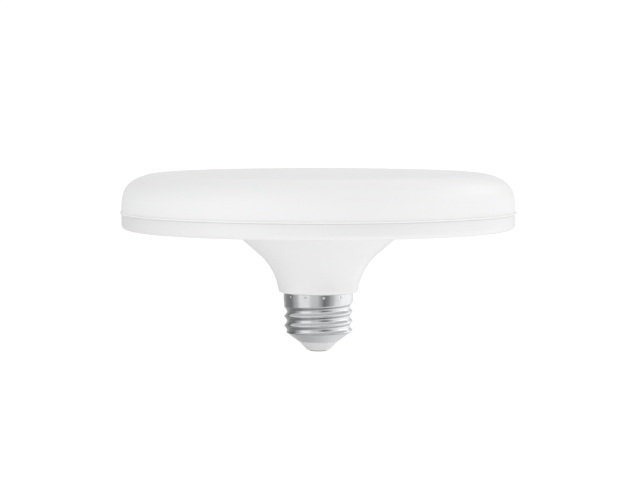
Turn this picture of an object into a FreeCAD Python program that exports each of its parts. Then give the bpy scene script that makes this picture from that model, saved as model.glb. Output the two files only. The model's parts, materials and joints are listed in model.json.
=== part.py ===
"""LED disc lamp: a wide white disc on a flared neck, standing on an Edison screw cap.

The origin lies on the axis at the lower face of the plastic collar, where the metal cap begins. +Z points from the
cap to the disc, +X to the right and -Y towards the viewer. All lengths are in millimetres, all angles in degrees.
"""
import FreeCAD, Part
import Sketcher
import math
import os
import re

Vector = FreeCAD.Vector

SIZES = {
    # Disc
    "disc_radius": 74.9,
    "parting_height": 30.35,
    "rim_depth": 5.95,
    "rim_corner": 2.0,
    "housing_wall": 1.8,
    # Neck
    "collar_step": 1.9,
    "collar_round": 1.0,
    "collar_height": 2.5,
    "collar_draft": 12.0,
    "neck_curve_radius": 22.0,
    "neck_cone_angle": 49.0,
    "neck_fillet": 3.0,
    # Tail of the housing, inside the metal cap
    "tail_clearance": 1.28,
    "tail_wall": 1.3,
    "tail_step_margin": 0.2,
    "tail_fit": 0.15,
    "lead_notch_width": 1.0,
    "lead_notch_length": 6.5,
    # Opal cover
    "cover_step": 0.2,
    "cover_wall": 1.5,
    "cover_draft": 5.2,
    "cover_side_height": 5.7,
    "shoulder_radius": 9.0,
    "shoulder_turn": 61.0,
    "crown_edge_radius": 19.0,
    "crown_edge_turn": 88.6,
    "lip_overhang": 0.35,
    "lip_height": 0.6,
    "spigot_floor_gap": 0.95,
    "spigot_rise": 1.5,
    "spigot_fit": 0.15,
    # Snap lugs between cover and housing
    "lug_count": 6,
    "lug_angle": 6.0,
    "lug_height": 1.2,
    "lug_reach": 0.5,
    "lug_drop": 1.0,
    "lug_fit": 0.15,
    # Edison screw cap
    "cap_radius": 13.1,
    "thread_depth": 1.05,
    "thread_pitch": 3.629,
    "thread_turns": 2.5,
    "thread_start": 180.0,
    "thread_runout_turns": 0.25,
    "band_length": 2.86,
    "band_step": 0.17,
    "thread_land": 0.03,
    "groove_setback": 0.24,
    "groove_half_root": 0.5,
    "shell_wall": 0.3,
    "root_chords": 2,
    "crest_chords": 1,
    "cone_margin": 0.126,
    "cone_height": 3.87,
    "cone_end_radius": 7.9,
    # Insulator and centre contact
    "insulator_fit": 0.05,
    "insulator_seat": 2.0,
    "insulator_step": 0.35,
    "insulator_height": 3.52,
    "insulator_end_radius": 4.3,
    "insulator_round": 1.3,
    "contact_radius": 3.4,
    "contact_rim": 0.3,
    "contact_dome": 0.15,
    "contact_flat": 1.0,
    "contact_stem_radius": 1.5,
    "contact_fit": 0.05,
    # Heat spreader, board and light sources
    "floor_gap": 1.8,
    "spreader_thickness": 1.2,
    "spreader_fit": 0.3,
    "wire_hole_radius": 6.0,
    "rib_count": 12,
    "rib_thickness": 1.5,
    "rib_offset": 8.7,
    "rib_margin": 2.0,
    "led_board_margin": 7.15,
    "led_board_thickness": 1.2,
    "led_length": 3.5,
    "led_width": 2.8,
    "led_height": 0.7,
    "inner_led_count": 12,
    "inner_led_ring": 26.0,
    "outer_led_count": 24,
    "outer_led_margin": 12.0,
    # Screws through board and spreader
    "screw_count": 3,
    "boss_margin": 1.7,
    "screw_radius": 1.25,
    "screw_floor_gap": 1.0,
    "screw_head_radius": 2.4,
    "screw_head_height": 1.6,
    "screw_hole_fit": 0.2,
    "screw_pilot_fit": 0.05,
    "boss_radius": 3.0,
    # Terminal on the board
    "terminal_offset": 9.0,
    "terminal_length": 8.0,
    "terminal_width": 6.0,
    "terminal_height": 3.2,
    "terminal_spare": 2.0,
    # Driver card
    "card_thickness": 1.0,
    "card_slot_depth": 0.6,
    "card_fit": 0.1,
    "card_stop": 1.0,
    "card_step_height": 4.5,
    "card_side_gap": 0.7,
    "card_top": 22.0,
    # Driver components
    "part_gap": 0.15,
    "input_capacitor_gap": 1.65,
    "input_capacitor_length": 12.5,
    "input_capacitor_rise": 1.0,
    "fuse_radius": 1.6,
    "fuse_length": 9.0,
    "fuse_across": 4.5,
    "fuse_rise": 3.5,
    "rectifier_length": 4.7,
    "rectifier_width": 4.0,
    "rectifier_height": 2.5,
    "rectifier_across": -3.5,
    "rectifier_base": 1.5,
    "varistor_radius": 3.5,
    "varistor_thickness": 3.0,
    "varistor_across": 5.5,
    "varistor_level": 8.5,
    "film_length": 9.0,
    "film_depth": 4.5,
    "film_height": 7.0,
    "film_across": 8.3,
    "film_base": 13.5,
    "choke_radius": 2.6,
    "choke_core_radius": 1.5,
    "choke_flange": 0.8,
    "choke_length": 6.0,
    "choke_across": 6.5,
    "choke_level": 7.5,
    "output_capacitor_radius": 4.0,
    "output_capacitor_length": 11.0,
    "output_capacitor_across": -6.0,
    "output_capacitor_base": 9.5,
    "ic_length": 4.9,
    "ic_width": 3.9,
    "ic_height": 1.5,
    "ic_across": 8.5,
    "ic_base": 14.0,
    "diode_length": 4.4,
    "diode_width": 2.6,
    "diode_height": 2.2,
    "diode_across": 8.5,
    "diode_base": 19.0,
    # Transformer
    "core_width": 13.0,
    "core_height": 11.0,
    "core_depth": 6.0,
    "core_leg": 2.4,
    "core_centre_leg": 3.2,
    "core_back": 2.2,
    "core_across": -5.0,
    "core_base": 11.0,
    "core_stand": 2.5,
    "bobbin_wall": 0.8,
    "bobbin_fit": 0.1,
    "winding_margin": 0.5,
    # Leads
    "lead_radius": 0.6,
    "lead_bend": 2.5,
    "lead_across": 3.0,
    "lead_overlap": 4.0,
    "lead_entry": 2.0,
    "cap_lead_radius": 0.4,
    "cap_lead_bend": 1.2,
    "cap_lead_height": 3.8,
    "cap_lead_level": 1.5,
    "cap_lead_gap": 0.05,
}

doc = FreeCAD.newDocument("LedDiscLamp")
sheet = doc.addObject("Spreadsheet::Sheet", "Sizes")
for row, (alias, size) in enumerate(SIZES.items(), start=1):
    sheet.set(f"A{row}", str(size))
    sheet.setAlias(f"A{row}", alias)
doc.recompute()


def bound(expression):
    """The expression with every size taken from the sheet."""
    return re.sub(r"[a-z_]+", lambda word: f"Sizes.{word[0]}" if word[0] in SIZES else word[0], str(expression))


def number(expression):
    """The value that the expression has now."""
    result = sheet.evalExpression(bound(expression).replace("Sizes.", ""))
    return float(getattr(result, "Value", result))


def bind(thing, **expressions):
    """Ties properties to the sheet. A double underscore in a name stands for a dot."""
    for name, expression in expressions.items():
        thing.setExpression(name.replace("__", "."), bound(expression))
    return thing


# Levels and radii that several pieces share

UNDERSIDE = "(parting_height - rim_depth)"
FLOOR = f"({UNDERSIDE} + housing_wall)"
SPREADER_BASE = f"({FLOOR} + floor_gap)"
SPREADER_RADIUS = "(disc_radius - housing_wall - spigot_fit - cover_wall - spreader_fit)"
LED_BOARD_RADIUS = f"({SPREADER_RADIUS} - led_board_margin)"
OUTER_LED_RING = f"({LED_BOARD_RADIUS} - outer_led_margin)"
BOARD_BASE = f"({SPREADER_BASE} + spreader_thickness)"
BOARD_TOP = f"({BOARD_BASE} + led_board_thickness)"
RIM_INNER = "(disc_radius - housing_wall)"
SPIGOT_OUTER = f"({RIM_INNER} - spigot_fit)"
SPIGOT_INNER = f"({SPIGOT_OUTER} - cover_wall)"
COVER_RADIUS = "(disc_radius + cover_step)"
COLLAR_RADIUS = "(cap_radius + collar_step)"
ROOT_RADIUS = "(cap_radius - thread_depth)"
CREST_BORE = "(cap_radius - shell_wall)"
ROOT_BORE = f"({ROOT_RADIUS} - shell_wall)"
TAIL_UPPER = f"({CREST_BORE} + band_step - tail_fit)"
TAIL_STEP = "(shell_wall + tail_step_margin - band_length)"
TAIL_LOWER = f"({ROOT_BORE} - tail_fit)"
TAIL_BORE = f"({TAIL_LOWER} - tail_wall)"
THREAD_TOP = "(band_length + (0.5 + thread_runout_turns) * thread_pitch)"
THREAD_END = f"({THREAD_TOP} + thread_turns * thread_pitch)"
CONE_TOP = f"({THREAD_END} + cone_margin)"
CONE_END = f"({CONE_TOP} + cone_height)"
CONE_SLOPE = "((cap_radius - cone_end_radius) / cone_height)"
CONE_SECANT = f"sqrt(1 + {CONE_SLOPE} ^ 2)"
TAIL_END = f"({CONE_TOP} - tail_clearance)"
INSULATOR_END = f"({CONE_END} + insulator_height)"
CARD_BASE = f"(card_stop - {TAIL_END})"


def origin_item(body, role):
    """One of the body's own base planes or axes."""
    return [item for item in body.Origin.OriginFeatures if item.Role == role][0]


def new_body(label):
    """An empty body with its own name, at the frame's origin."""
    body = doc.addObject("PartDesign::Body", label)
    body.Label = label
    body.Placement = FreeCAD.Placement()
    return body


def empty_sketch(body, name, role, height=None):
    """A sketch on one of the body's base planes, lifted along the plane's normal by an expression."""
    sketch = body.newObject("Sketcher::SketchObject", name)
    sketch.AttachmentSupport = (origin_item(body, role), [""])
    sketch.MapMode = "FlatFace"
    if height is not None:
        bind(sketch, AttachmentOffset__Base__z=height)
    return sketch


def chords(centre, level, radius, first, last, steps):
    """Corners along an arc that is drawn as short chords. Its angles are measured upwards from the right."""
    corners = []
    for step in range(steps + 1):
        angle = f"(({first}) + (({last}) - ({first})) * {step} / {steps}) * 1deg"
        corners.append((f"{centre} + ({radius}) * cos({angle})", f"{level} + ({radius}) * sin({angle})"))
    return corners


def place(sketch, geometry, point, across, up):
    """Ties one point of a sketch to its two coordinates."""
    for axis, kind, expression in ((-2, "DistanceX", across), (-1, "DistanceY", up)):
        if expression == "0":
            sketch.addConstraint(Sketcher.Constraint("PointOnObject", geometry, point, axis))
        else:
            value = number(expression)
            index = sketch.addConstraint(Sketcher.Constraint(kind, -1, 1, geometry, point, value))
            sketch.setExpression(f"Constraints[{index}]", bound(expression))


def outline(body, name, corners, role="XZ_Plane", height=None):
    """A closed outline. A corner is (across, up), or (across, up, radius) where an arc leaves it for the next corner.

    A positive radius turns left on the way round, a negative one turns right.
    """
    sketch = empty_sketch(body, name, role, height)
    spots = [Vector(number(corner[0]), number(corner[1]), 0) for corner in corners]
    ends = []
    for index, corner in enumerate(corners):
        start = spots[index]
        finish = spots[(index + 1) % len(spots)]
        if len(corner) == 2:
            edge = sketch.addGeometry(Part.LineSegment(start, finish), False)
            ends.append((edge, 1, 2))
            continue
        radius = number(corner[2])
        half = (finish - start) * 0.5
        side = Vector(-half.y, half.x, 0).normalize()
        reach = math.sqrt(max(radius ** 2 - half.Length ** 2, 0.0))
        centre = start + half + side * math.copysign(reach, radius)
        first, last = (start, finish) if radius > 0 else (finish, start)
        circle = Part.Circle(centre, Vector(0, 0, 1), abs(radius))
        arc = Part.ArcOfCircle(circle, circle.parameter(first), circle.parameter(last))
        edge = sketch.addGeometry(arc, False)
        ends.append((edge, 1, 2) if radius > 0 else (edge, 2, 1))
        index_radius = sketch.addConstraint(Sketcher.Constraint("Radius", edge, abs(radius)))
        sketch.setExpression(f"Constraints[{index_radius}]", bound(f"abs({corner[2]})"))
    for index, (edge, start, finish) in enumerate(ends):
        following = ends[(index + 1) % len(ends)]
        sketch.addConstraint(Sketcher.Constraint("Coincident", edge, finish, following[0], following[1]))
        place(sketch, edge, start, corners[index][0], corners[index][1])
    return sketch


def circles(body, name, discs, role="XY_Plane", height=None):
    """A sketch of circles, each given as (across, up, radius)."""
    sketch = empty_sketch(body, name, role, height)
    for across, up, radius in discs:
        centre = Vector(number(across), number(up), 0)
        edge = sketch.addGeometry(Part.Circle(centre, Vector(0, 0, 1), number(radius)), False)
        place(sketch, edge, 3, across, up)
        index = sketch.addConstraint(Sketcher.Constraint("Radius", edge, number(radius)))
        sketch.setExpression(f"Constraints[{index}]", bound(radius))
    return sketch


def rectangle(body, name, left, low, right, high, role="XY_Plane", height=None):
    """A rectangle between two opposite corners."""
    corners = [(left, low), (right, low), (right, high), (left, high)]
    return outline(body, name, corners, role, height)


def finish(body, feature):
    """Makes the feature the body's last one and computes it."""
    body.Tip = feature
    doc.recompute()
    return feature


def turn(body, name, sketch, angle=None):
    """Revolves an outline about the vertical axis, through a whole turn or half each way of its plane."""
    feature = body.newObject("PartDesign::Revolution", name)
    feature.Profile = sketch
    feature.ReferenceAxis = (sketch, ["V_Axis"])
    if angle is None:
        feature.Angle = 360
    else:
        feature.Midplane = True
        bind(feature, Angle=angle)
    return finish(body, feature)


def turn_away(body, name, sketch, angle):
    """Cuts an outline that revolves about the vertical axis, half the angle each way of its plane."""
    feature = body.newObject("PartDesign::Groove", name)
    feature.Profile = sketch
    feature.ReferenceAxis = (sketch, ["V_Axis"])
    feature.Midplane = True
    bind(feature, Angle=angle)
    return finish(body, feature)


def pad(body, name, sketch, length, midplane=False, reverse=False):
    """Extrudes an outline along its plane's normal."""
    feature = body.newObject("PartDesign::Pad", name)
    feature.Profile = sketch
    feature.Midplane = midplane
    feature.Reversed = reverse
    bind(feature, Length=length)
    return finish(body, feature)


def pocket(body, name, sketch, length, midplane=False, reverse=False):
    """Cuts an outline into the solid, against its plane's normal."""
    feature = body.newObject("PartDesign::Pocket", name)
    feature.Profile = sketch
    feature.Midplane = midplane
    feature.Reversed = reverse
    bind(feature, Length=length)
    return finish(body, feature)


def ring_of(body, name, feature, count):
    """Repeats a feature evenly round the vertical axis."""
    pattern = body.newObject("PartDesign::PolarPattern", name)
    pattern.Originals = [feature]
    pattern.Axis = (origin_item(body, "Z_Axis"), [""])
    pattern.Angle = 360
    bind(pattern, Occurrences=count)
    return finish(body, pattern)


# Small and hidden round stretches are drawn as a few chords

SMALL_ARC_CHORDS = 2
RIM_ARC_CHORDS = 3
HIDDEN_ARC_CHORDS = 2

# Outline of the neck, shared by its outer and inner surface

NECK_START = f"({COLLAR_RADIUS} + collar_height * tan(collar_draft * 1deg))"
NECK_END = (
    f"({NECK_START} + neck_curve_radius * (cos(collar_draft * 1deg) - cos(neck_cone_angle * 1deg)))"
)
NECK_END_Z = (
    "(collar_height + neck_curve_radius * (sin(neck_cone_angle * 1deg) - sin(collar_draft * 1deg)))"
)
NECK_TOP = f"({NECK_END} + ({UNDERSIDE} - {NECK_END_Z}) * tan(neck_cone_angle * 1deg))"

# The screws stand between two outer light sources, beyond the mouth of the neck

MOUTH = f"({NECK_TOP} - housing_wall * tan((90 - neck_cone_angle) * 0.5deg))"
SCREW_RING = f"({MOUTH} + boss_radius + boss_margin)"
SCREW_ACROSS = f"({SCREW_RING} * cos(180deg / outer_led_count))"
SCREW_BACK = f"({SCREW_RING} * sin(180deg / outer_led_count))"


def lamp_housing():
    """White moulding: rim, flat underside, flared neck, collar and the tail that carries the metal cap."""
    body = new_body("lamp_housing")
    round_reach = "(collar_round * tan((90 - collar_draft) * 0.5deg))"
    fillet_reach = "(neck_fillet * tan((90 - neck_cone_angle) * 0.5deg))"
    inner_start = f"({COLLAR_RADIUS} - housing_wall / cos(collar_draft * 1deg))"
    inner_end = f"({NECK_END} - housing_wall * cos(neck_cone_angle * 1deg))"
    inner_end_z = f"({NECK_END_Z} + housing_wall * sin(neck_cone_angle * 1deg))"
    profile = outline(body, "HousingProfile", [
        (TAIL_BORE, f"-{TAIL_END}"),
        (TAIL_LOWER, f"-{TAIL_END}"),
        (TAIL_LOWER, TAIL_STEP),
        (TAIL_UPPER, TAIL_STEP),
        (TAIL_UPPER, "0"),
        *chords(f"{COLLAR_RADIUS} - {round_reach}", "collar_round", "collar_round", "-90", "-collar_draft",
                SMALL_ARC_CHORDS),
        (NECK_START, "collar_height", "-neck_curve_radius"),
        (NECK_END, NECK_END_Z),
        *chords(f"{NECK_TOP} + {fillet_reach}", f"{UNDERSIDE} - neck_fillet", "neck_fillet",
                "180 - neck_cone_angle", "90", SMALL_ARC_CHORDS),
        *chords("disc_radius - rim_corner", f"{UNDERSIDE} + rim_corner", "rim_corner", "-90", "0",
                RIM_ARC_CHORDS),
        ("disc_radius", "parting_height"),
        (RIM_INNER, "parting_height"),
        (RIM_INNER, FLOOR),
        (f"{inner_end} + ({FLOOR} - {inner_end_z}) * tan(neck_cone_angle * 1deg)", FLOOR),
        *chords(f"{NECK_START} + neck_curve_radius * cos(collar_draft * 1deg)",
                "collar_height - neck_curve_radius * sin(collar_draft * 1deg)",
                "neck_curve_radius + housing_wall", "180 - neck_cone_angle", "180 - collar_draft",
                HIDDEN_ARC_CHORDS),
        (f"{inner_start} + housing_wall * tan(collar_draft * 1deg)", "housing_wall"),
        (TAIL_BORE, "housing_wall"),
    ])
    turn(body, "HousingTurn", profile)

    rib = rectangle(
        body, "RibOutline", f"{MOUTH} + rib_offset", "-rib_thickness / 2", f"{RIM_INNER} - rib_margin",
        "rib_thickness / 2", height=f"{FLOOR} - housing_wall / 2")
    ring_of(body, "Ribs", pad(body, "Rib", rib, "floor_gap + housing_wall / 2"), "rib_count")

    boss = circles(
        body, "BossOutline", [(SCREW_ACROSS, SCREW_BACK, "boss_radius")], height=f"{FLOOR} - housing_wall / 2")
    ring_of(body, "Bosses", pad(body, "Boss", boss, "floor_gap + housing_wall / 2"), "screw_count")
    pilot = circles(body, "PilotOutline", [(SCREW_ACROSS, SCREW_BACK, "screw_radius")], height=SPREADER_BASE)
    depth = "floor_gap + housing_wall - screw_floor_gap + screw_hole_fit"
    ring_of(body, "PilotHoles", pocket(body, "PilotHole", pilot, depth), "screw_count")

    catch = outline(body, "CatchOutline", lug_corners("lug_fit"))
    ring_of(body, "Catches", turn_away(body, "Catch", catch, "lug_angle + 2 * lug_fit"), "lug_count")

    slot = rectangle(
        body, "CardSlotOutline",
        f"-{TAIL_BORE} - card_slot_depth", "-card_thickness / 2 - card_fit",
        f"{TAIL_BORE} + card_slot_depth", "card_thickness / 2 + card_fit", height="housing_wall")
    pocket(body, "CardSlots", slot, f"housing_wall - {CARD_BASE}")

    notch = rectangle(
        body, "LeadNotchOutline", "-lead_notch_width / 2", f"{TAIL_BORE} / 2", "lead_notch_width / 2",
        f"{TAIL_LOWER} + tail_fit", height=f"-{TAIL_END}")
    pocket(body, "LeadNotch", notch, "lead_notch_length", reverse=True)
    return body


def lug_corners(growth):
    """Outline of a snap lug on the cover's spigot, or of its catch when grown by a clearance."""
    level = "(parting_height - lug_drop)"
    root = f"({SPIGOT_OUTER} - spigot_fit)"
    return [
        (root, f"{level} - lug_height - {growth}"),
        (f"{SPIGOT_OUTER} + lug_reach + {growth}", f"{level} - lug_height / 2 - {growth}"),
        (f"{SPIGOT_OUTER} + lug_reach + {growth}", f"{level} + {growth}"),
        (root, f"{level} + {growth}"),
    ]


def diffuser_cover():
    """Opal cover: drafted side, round shoulder, nearly flat crown, lip over the rim and a spigot inside it."""
    body = new_body("diffuser_cover")
    draft = "cover_draft * 1deg"
    shoulder = "shoulder_turn * 1deg"
    crown = "crown_edge_turn * 1deg"
    lip_top = "(parting_height + lip_height)"
    side = f"({COVER_RADIUS} - (cover_side_height - lip_height) * tan({draft}))"
    side_z = "(parting_height + cover_side_height)"
    shoulder_end = f"({side} - shoulder_radius * (cos({draft}) - cos({shoulder})))"
    shoulder_end_z = f"({side_z} + shoulder_radius * (sin({shoulder}) - sin({draft})))"
    crown_edge = f"({shoulder_end} - crown_edge_radius * (cos({shoulder}) - cos({crown})))"
    crown_edge_z = f"({shoulder_end_z} + crown_edge_radius * (sin({crown}) - sin({shoulder})))"
    slope = "(45deg - crown_edge_turn * 0.5deg)"
    crown_top = f"({crown_edge_z} + {crown_edge} * tan({slope}))"
    inner_side = f"({side} - cover_wall * cos({draft}))"
    inner_side_z = f"({side_z} - cover_wall * sin({draft}))"
    spigot_top = "(parting_height + spigot_rise)"
    profile = outline(body, "CoverProfile", [
        (f"{SPIGOT_OUTER}", "parting_height"),
        (f"{COVER_RADIUS} + lip_overhang", "parting_height"),
        (f"{COVER_RADIUS} + lip_overhang", lip_top),
        (COVER_RADIUS, lip_top),
        (side, side_z, "shoulder_radius"),
        (shoulder_end, shoulder_end_z, "crown_edge_radius"),
        (crown_edge, crown_edge_z),
        ("0", crown_top),
        ("0", f"{crown_top} - cover_wall / cos({slope})"),
        (f"{crown_edge} - cover_wall * cos({crown})", f"{crown_edge_z} - cover_wall * sin({crown})"),
        *chords(f"{side} - shoulder_radius * cos({draft})", f"{side_z} - shoulder_radius * sin({draft})",
                "shoulder_radius - cover_wall", "shoulder_turn", "cover_draft", HIDDEN_ARC_CHORDS),
        (f"{inner_side} + ({inner_side_z} - {spigot_top}) * tan({draft})", spigot_top),
        (SPIGOT_INNER, spigot_top),
        (SPIGOT_INNER, f"{FLOOR} + spigot_floor_gap"),
        (SPIGOT_OUTER, f"{FLOOR} + spigot_floor_gap"),
    ])
    turn(body, "CoverTurn", profile)
    lug = outline(body, "LugOutline", lug_corners("0"))
    ring_of(body, "Lugs", turn(body, "Lug", lug, "lug_angle"), "lug_count")
    return body


def heat_spreader():
    """Flat aluminium disc on the housing's ribs and bosses."""
    body = new_body("heat_spreader")
    disc = circles(body, "SpreaderOutline", [
        ("0", "0", SPREADER_RADIUS),
        ("0", "0", "wire_hole_radius"),
    ], height=SPREADER_BASE)
    pad(body, "Spreader", disc, "spreader_thickness")
    hole = circles(body, "SpreaderHoleOutline", [
        (SCREW_ACROSS, SCREW_BACK, "screw_radius + screw_hole_fit"),
    ], height=BOARD_BASE)
    ring_of(body, "SpreaderHoles", pocket(body, "SpreaderHole", hole, "spreader_thickness"), "screw_count")
    return body


def led_board():
    """Round metal-core board that lies on the heat spreader."""
    body = new_body("led_board")
    disc = circles(body, "BoardOutline", [
        ("0", "0", LED_BOARD_RADIUS),
        ("0", "0", "wire_hole_radius"),
    ], height=BOARD_BASE)
    pad(body, "Board", disc, "led_board_thickness")
    hole = circles(body, "BoardHoleOutline", [
        (SCREW_ACROSS, SCREW_BACK, "screw_radius + screw_hole_fit"),
    ], height=BOARD_TOP)
    ring_of(body, "BoardHoles", pocket(body, "BoardHole", hole, "led_board_thickness"), "screw_count")
    return body


def led_packages():
    """Two rings of light sources on the board, each a solid of its own."""
    body = new_body("led_packages")
    body.AllowCompound = True
    for name, ring, count in (
        ("Inner", "inner_led_ring", "inner_led_count"),
        ("Outer", OUTER_LED_RING, "outer_led_count"),
    ):
        chip = rectangle(
            body, f"{name}LedOutline", f"{ring} - led_length / 2", "-led_width / 2",
            f"{ring} + led_length / 2", "led_width / 2", height=BOARD_TOP)
        ring_of(body, f"{name}Leds", pad(body, f"{name}Led", chip, "led_height"), count)
    return body


def board_screws():
    """Pan-head screws that hold board and spreader to the housing's bosses."""
    body = new_body("board_screws")
    body.AllowCompound = True
    head = circles(body, "ScrewHeadOutline", [(SCREW_ACROSS, SCREW_BACK, "screw_head_radius")], height=BOARD_TOP)
    head_pad = pad(body, "ScrewHead", head, "screw_head_height")
    length = f"({BOARD_TOP} - {UNDERSIDE} - screw_floor_gap)"
    shank = circles(body, "ScrewShankOutline", [
        (SCREW_ACROSS, SCREW_BACK, "screw_radius - screw_pilot_fit"),
    ], height=BOARD_TOP)
    shank_pad = pad(body, "ScrewShank", shank, length, reverse=True)
    pattern = body.newObject("PartDesign::PolarPattern", "Screws")
    pattern.Originals = [head_pad, shank_pad]
    pattern.Axis = (origin_item(body, "Z_Axis"), [""])
    pattern.Angle = 360
    bind(pattern, Occurrences="screw_count")
    finish(body, pattern)
    return body


# Form of the rolled thread

KNUCKLE = "((thread_depth ^ 2 + thread_pitch ^ 2 / 4) / (4 * thread_depth))"
MOUTH_EDGE = "(-cap_radius - shell_wall)"


def knuckle_corners(level):
    """Outside of one groove of the rolled thread, at the left of the axis: crest, flank, root, flank, crest.

    Its round stretches are short chords.
    """
    crest_steps = int(number("crest_chords"))
    root_steps = int(number("root_chords"))
    flank = f"asin(thread_pitch / 4 / {KNUCKLE})"
    land = f"acos(1 - thread_land / {KNUCKLE})"
    crest_side = []
    for step in range(crest_steps + 1):
        angle = f"({land} + ({flank} - {land}) * {step} / {crest_steps})"
        crest_side.append((f"cap_radius - {KNUCKLE} * (1 - cos({angle}))",
                           f"thread_pitch / 2 - {KNUCKLE} * sin({angle})"))
    root = []
    for step in range(1, root_steps):
        angle = f"({flank} * ({2 * step} / {root_steps} - 1))"
        root.append((f"{ROOT_RADIUS} + {KNUCKLE} * (1 - cos({angle}))", f"-{KNUCKLE} * sin({angle})"))
    upper = [(f"-({across})", f"{level} + {rise}") for across, rise in crest_side]
    middle = [(f"-({across})", f"{level} + {rise}") for across, rise in root]
    lower = [(f"-({across})", f"{level} - ({rise})") for across, rise in reversed(crest_side)]
    return upper + middle + lower + [(MOUTH_EDGE, lower[-1][1]), (MOUTH_EDGE, upper[0][1])]


def groove_corners(level):
    """Inside of the same groove in the rolled sheet, a plain trapezium one sheet thickness behind it."""
    half_mouth = "(thread_pitch / 2 - groove_setback)"
    band = f"(-{CREST_BORE} + thread_land)"
    half_across = f"(({band} - {ROOT_BORE}) / 2)"
    half_rise = f"(({half_mouth} + groove_half_root) / 2)"
    return [
        (band, f"{level} + {half_mouth}"),
        (half_across, f"{level} + {half_rise}"),
        (f"-{ROOT_BORE}", f"{level} + groove_half_root"),
        (f"-{ROOT_BORE}", f"{level} - groove_half_root"),
        (half_across, f"{level} - {half_rise}"),
        (band, f"{level} - {half_mouth}"),
        (MOUTH_EDGE, f"{level} - {half_mouth}"),
        (MOUTH_EDGE, f"{level} + {half_mouth}"),
    ]


def roll_thread(body, name, corners):
    """Cuts the groove along its helix, with a quarter turn at each end where it rises out of the metal."""
    top = f"(-{THREAD_TOP})"
    low = f"(-{THREAD_END})"
    run = "(thread_runout_turns * thread_pitch)"
    rise = f"atan((thread_depth + shell_wall) / {run})"
    for part, level, height, down, slope, swing in (
        ("Thread", top, "thread_turns * thread_pitch", True, "0", "0"),
        ("RunIn", top, run, False, rise, "0"),
        ("RunOut", low, run, True, rise, "thread_turns * 360"),
    ):
        sketch = outline(body, f"{name}{part}Outline", corners(level))
        sketch.AttachmentOffset = FreeCAD.Placement(Vector(), FreeCAD.Rotation(Vector(0, 1, 0), 1))
        bind(sketch, AttachmentOffset__Rotation__Angle=f"(thread_start + {swing}) * 1deg")
        doc.recompute()
        helix = body.newObject("PartDesign::SubtractiveHelix", f"{name}{part}")
        helix.Profile = sketch
        helix.ReferenceAxis = (sketch, ["V_Axis"])
        helix.Mode = "pitch-height-angle"
        helix.Reversed = down
        bind(helix, Pitch="thread_pitch", Height=height, Angle=slope)
        finish(body, helix)


def cap_form(label, radius, top, step_level, end_radius, bottom, thread_name, corners):
    """The cap's plain band, the cylinder that the thread is rolled into, the cone and the thread itself."""
    body = new_body(label)
    profile = outline(body, f"{label}Profile", [
        ("0", bottom),
        (end_radius, bottom),
        (radius, f"{bottom} + ({radius} - {end_radius}) / {CONE_SLOPE}"),
        (radius, step_level),
        (f"{radius} + band_step", step_level),
        (f"{radius} + band_step", top),
        ("0", top),
    ])
    turn(body, f"{label}Turn", profile)
    roll_thread(body, thread_name, corners)
    return body


def screw_shell():
    """Rolled sheet-metal cap: plain band, knuckle thread and cone, open at both ends."""
    outer = cap_form(
        "ShellOuter", "cap_radius", "0", "-band_length", "cone_end_radius", f"(-{CONE_END})", "Outer",
        knuckle_corners)
    inner_end = f"(cone_end_radius - shell_wall * ({CONE_SECANT} + {CONE_SLOPE}))"
    inner = cap_form(
        "ShellInner", CREST_BORE, "shell_wall", "shell_wall - band_length", inner_end,
        f"(-{CONE_END} - shell_wall)", "Inner", groove_corners)
    shell = doc.addObject("Part::Cut", "screw_shell")
    shell.Label = "screw_shell"
    shell.Base = outer
    shell.Tool = inner
    doc.recompute()
    return shell


def cap_insulator():
    """Plastic plug in the cap's cone, with the centre contact's hole."""
    body = new_body("cap_insulator")
    hole = "(contact_stem_radius + contact_fit)"
    seat = f"(cone_end_radius - (shell_wall + insulator_fit) * {CONE_SECANT})"
    lean = f"(atan(({seat} + insulator_step - insulator_end_radius) / (insulator_height - insulator_fit)) / 1deg)"
    round_reach = f"(insulator_round * tan((90 - {lean}) * 0.5deg))"
    profile = outline(body, "InsulatorProfile", [
        (hole, f"-{INSULATOR_END}"),
        *chords(f"insulator_end_radius - {round_reach}", f"insulator_round - {INSULATOR_END}", "insulator_round",
                "-90", f"-{lean}", SMALL_ARC_CHORDS),
        (f"{seat} + insulator_step", f"-{CONE_END} - insulator_fit"),
        (seat, f"-{CONE_END} - insulator_fit"),
        (seat, f"-{CONE_END}"),
        (f"{seat} + insulator_seat * {CONE_SLOPE}", f"insulator_seat - {CONE_END}"),
        (hole, f"insulator_seat - {CONE_END}"),
    ])
    turn(body, "InsulatorTurn", profile)
    return body


def centre_contact():
    """Hollow rivet with a low domed head below the insulator."""
    body = new_body("centre_contact")
    bore = "(cap_lead_radius + contact_fit)"
    profile = outline(body, "ContactProfile", [
        ("0", f"-{INSULATOR_END} - contact_rim - contact_dome"),
        ("contact_flat", f"-{INSULATOR_END} - contact_rim - contact_dome"),
        ("contact_radius", f"-{INSULATOR_END} - contact_rim"),
        ("contact_radius", f"-{INSULATOR_END}"),
        ("contact_stem_radius", f"-{INSULATOR_END}"),
        ("contact_stem_radius", f"insulator_seat + contact_rim - {CONE_END}"),
        (bore, f"insulator_seat + contact_rim - {CONE_END}"),
        (bore, f"-{INSULATOR_END}"),
        ("0", f"-{INSULATOR_END}"),
    ])
    turn(body, "ContactTurn", profile)
    return body


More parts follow.
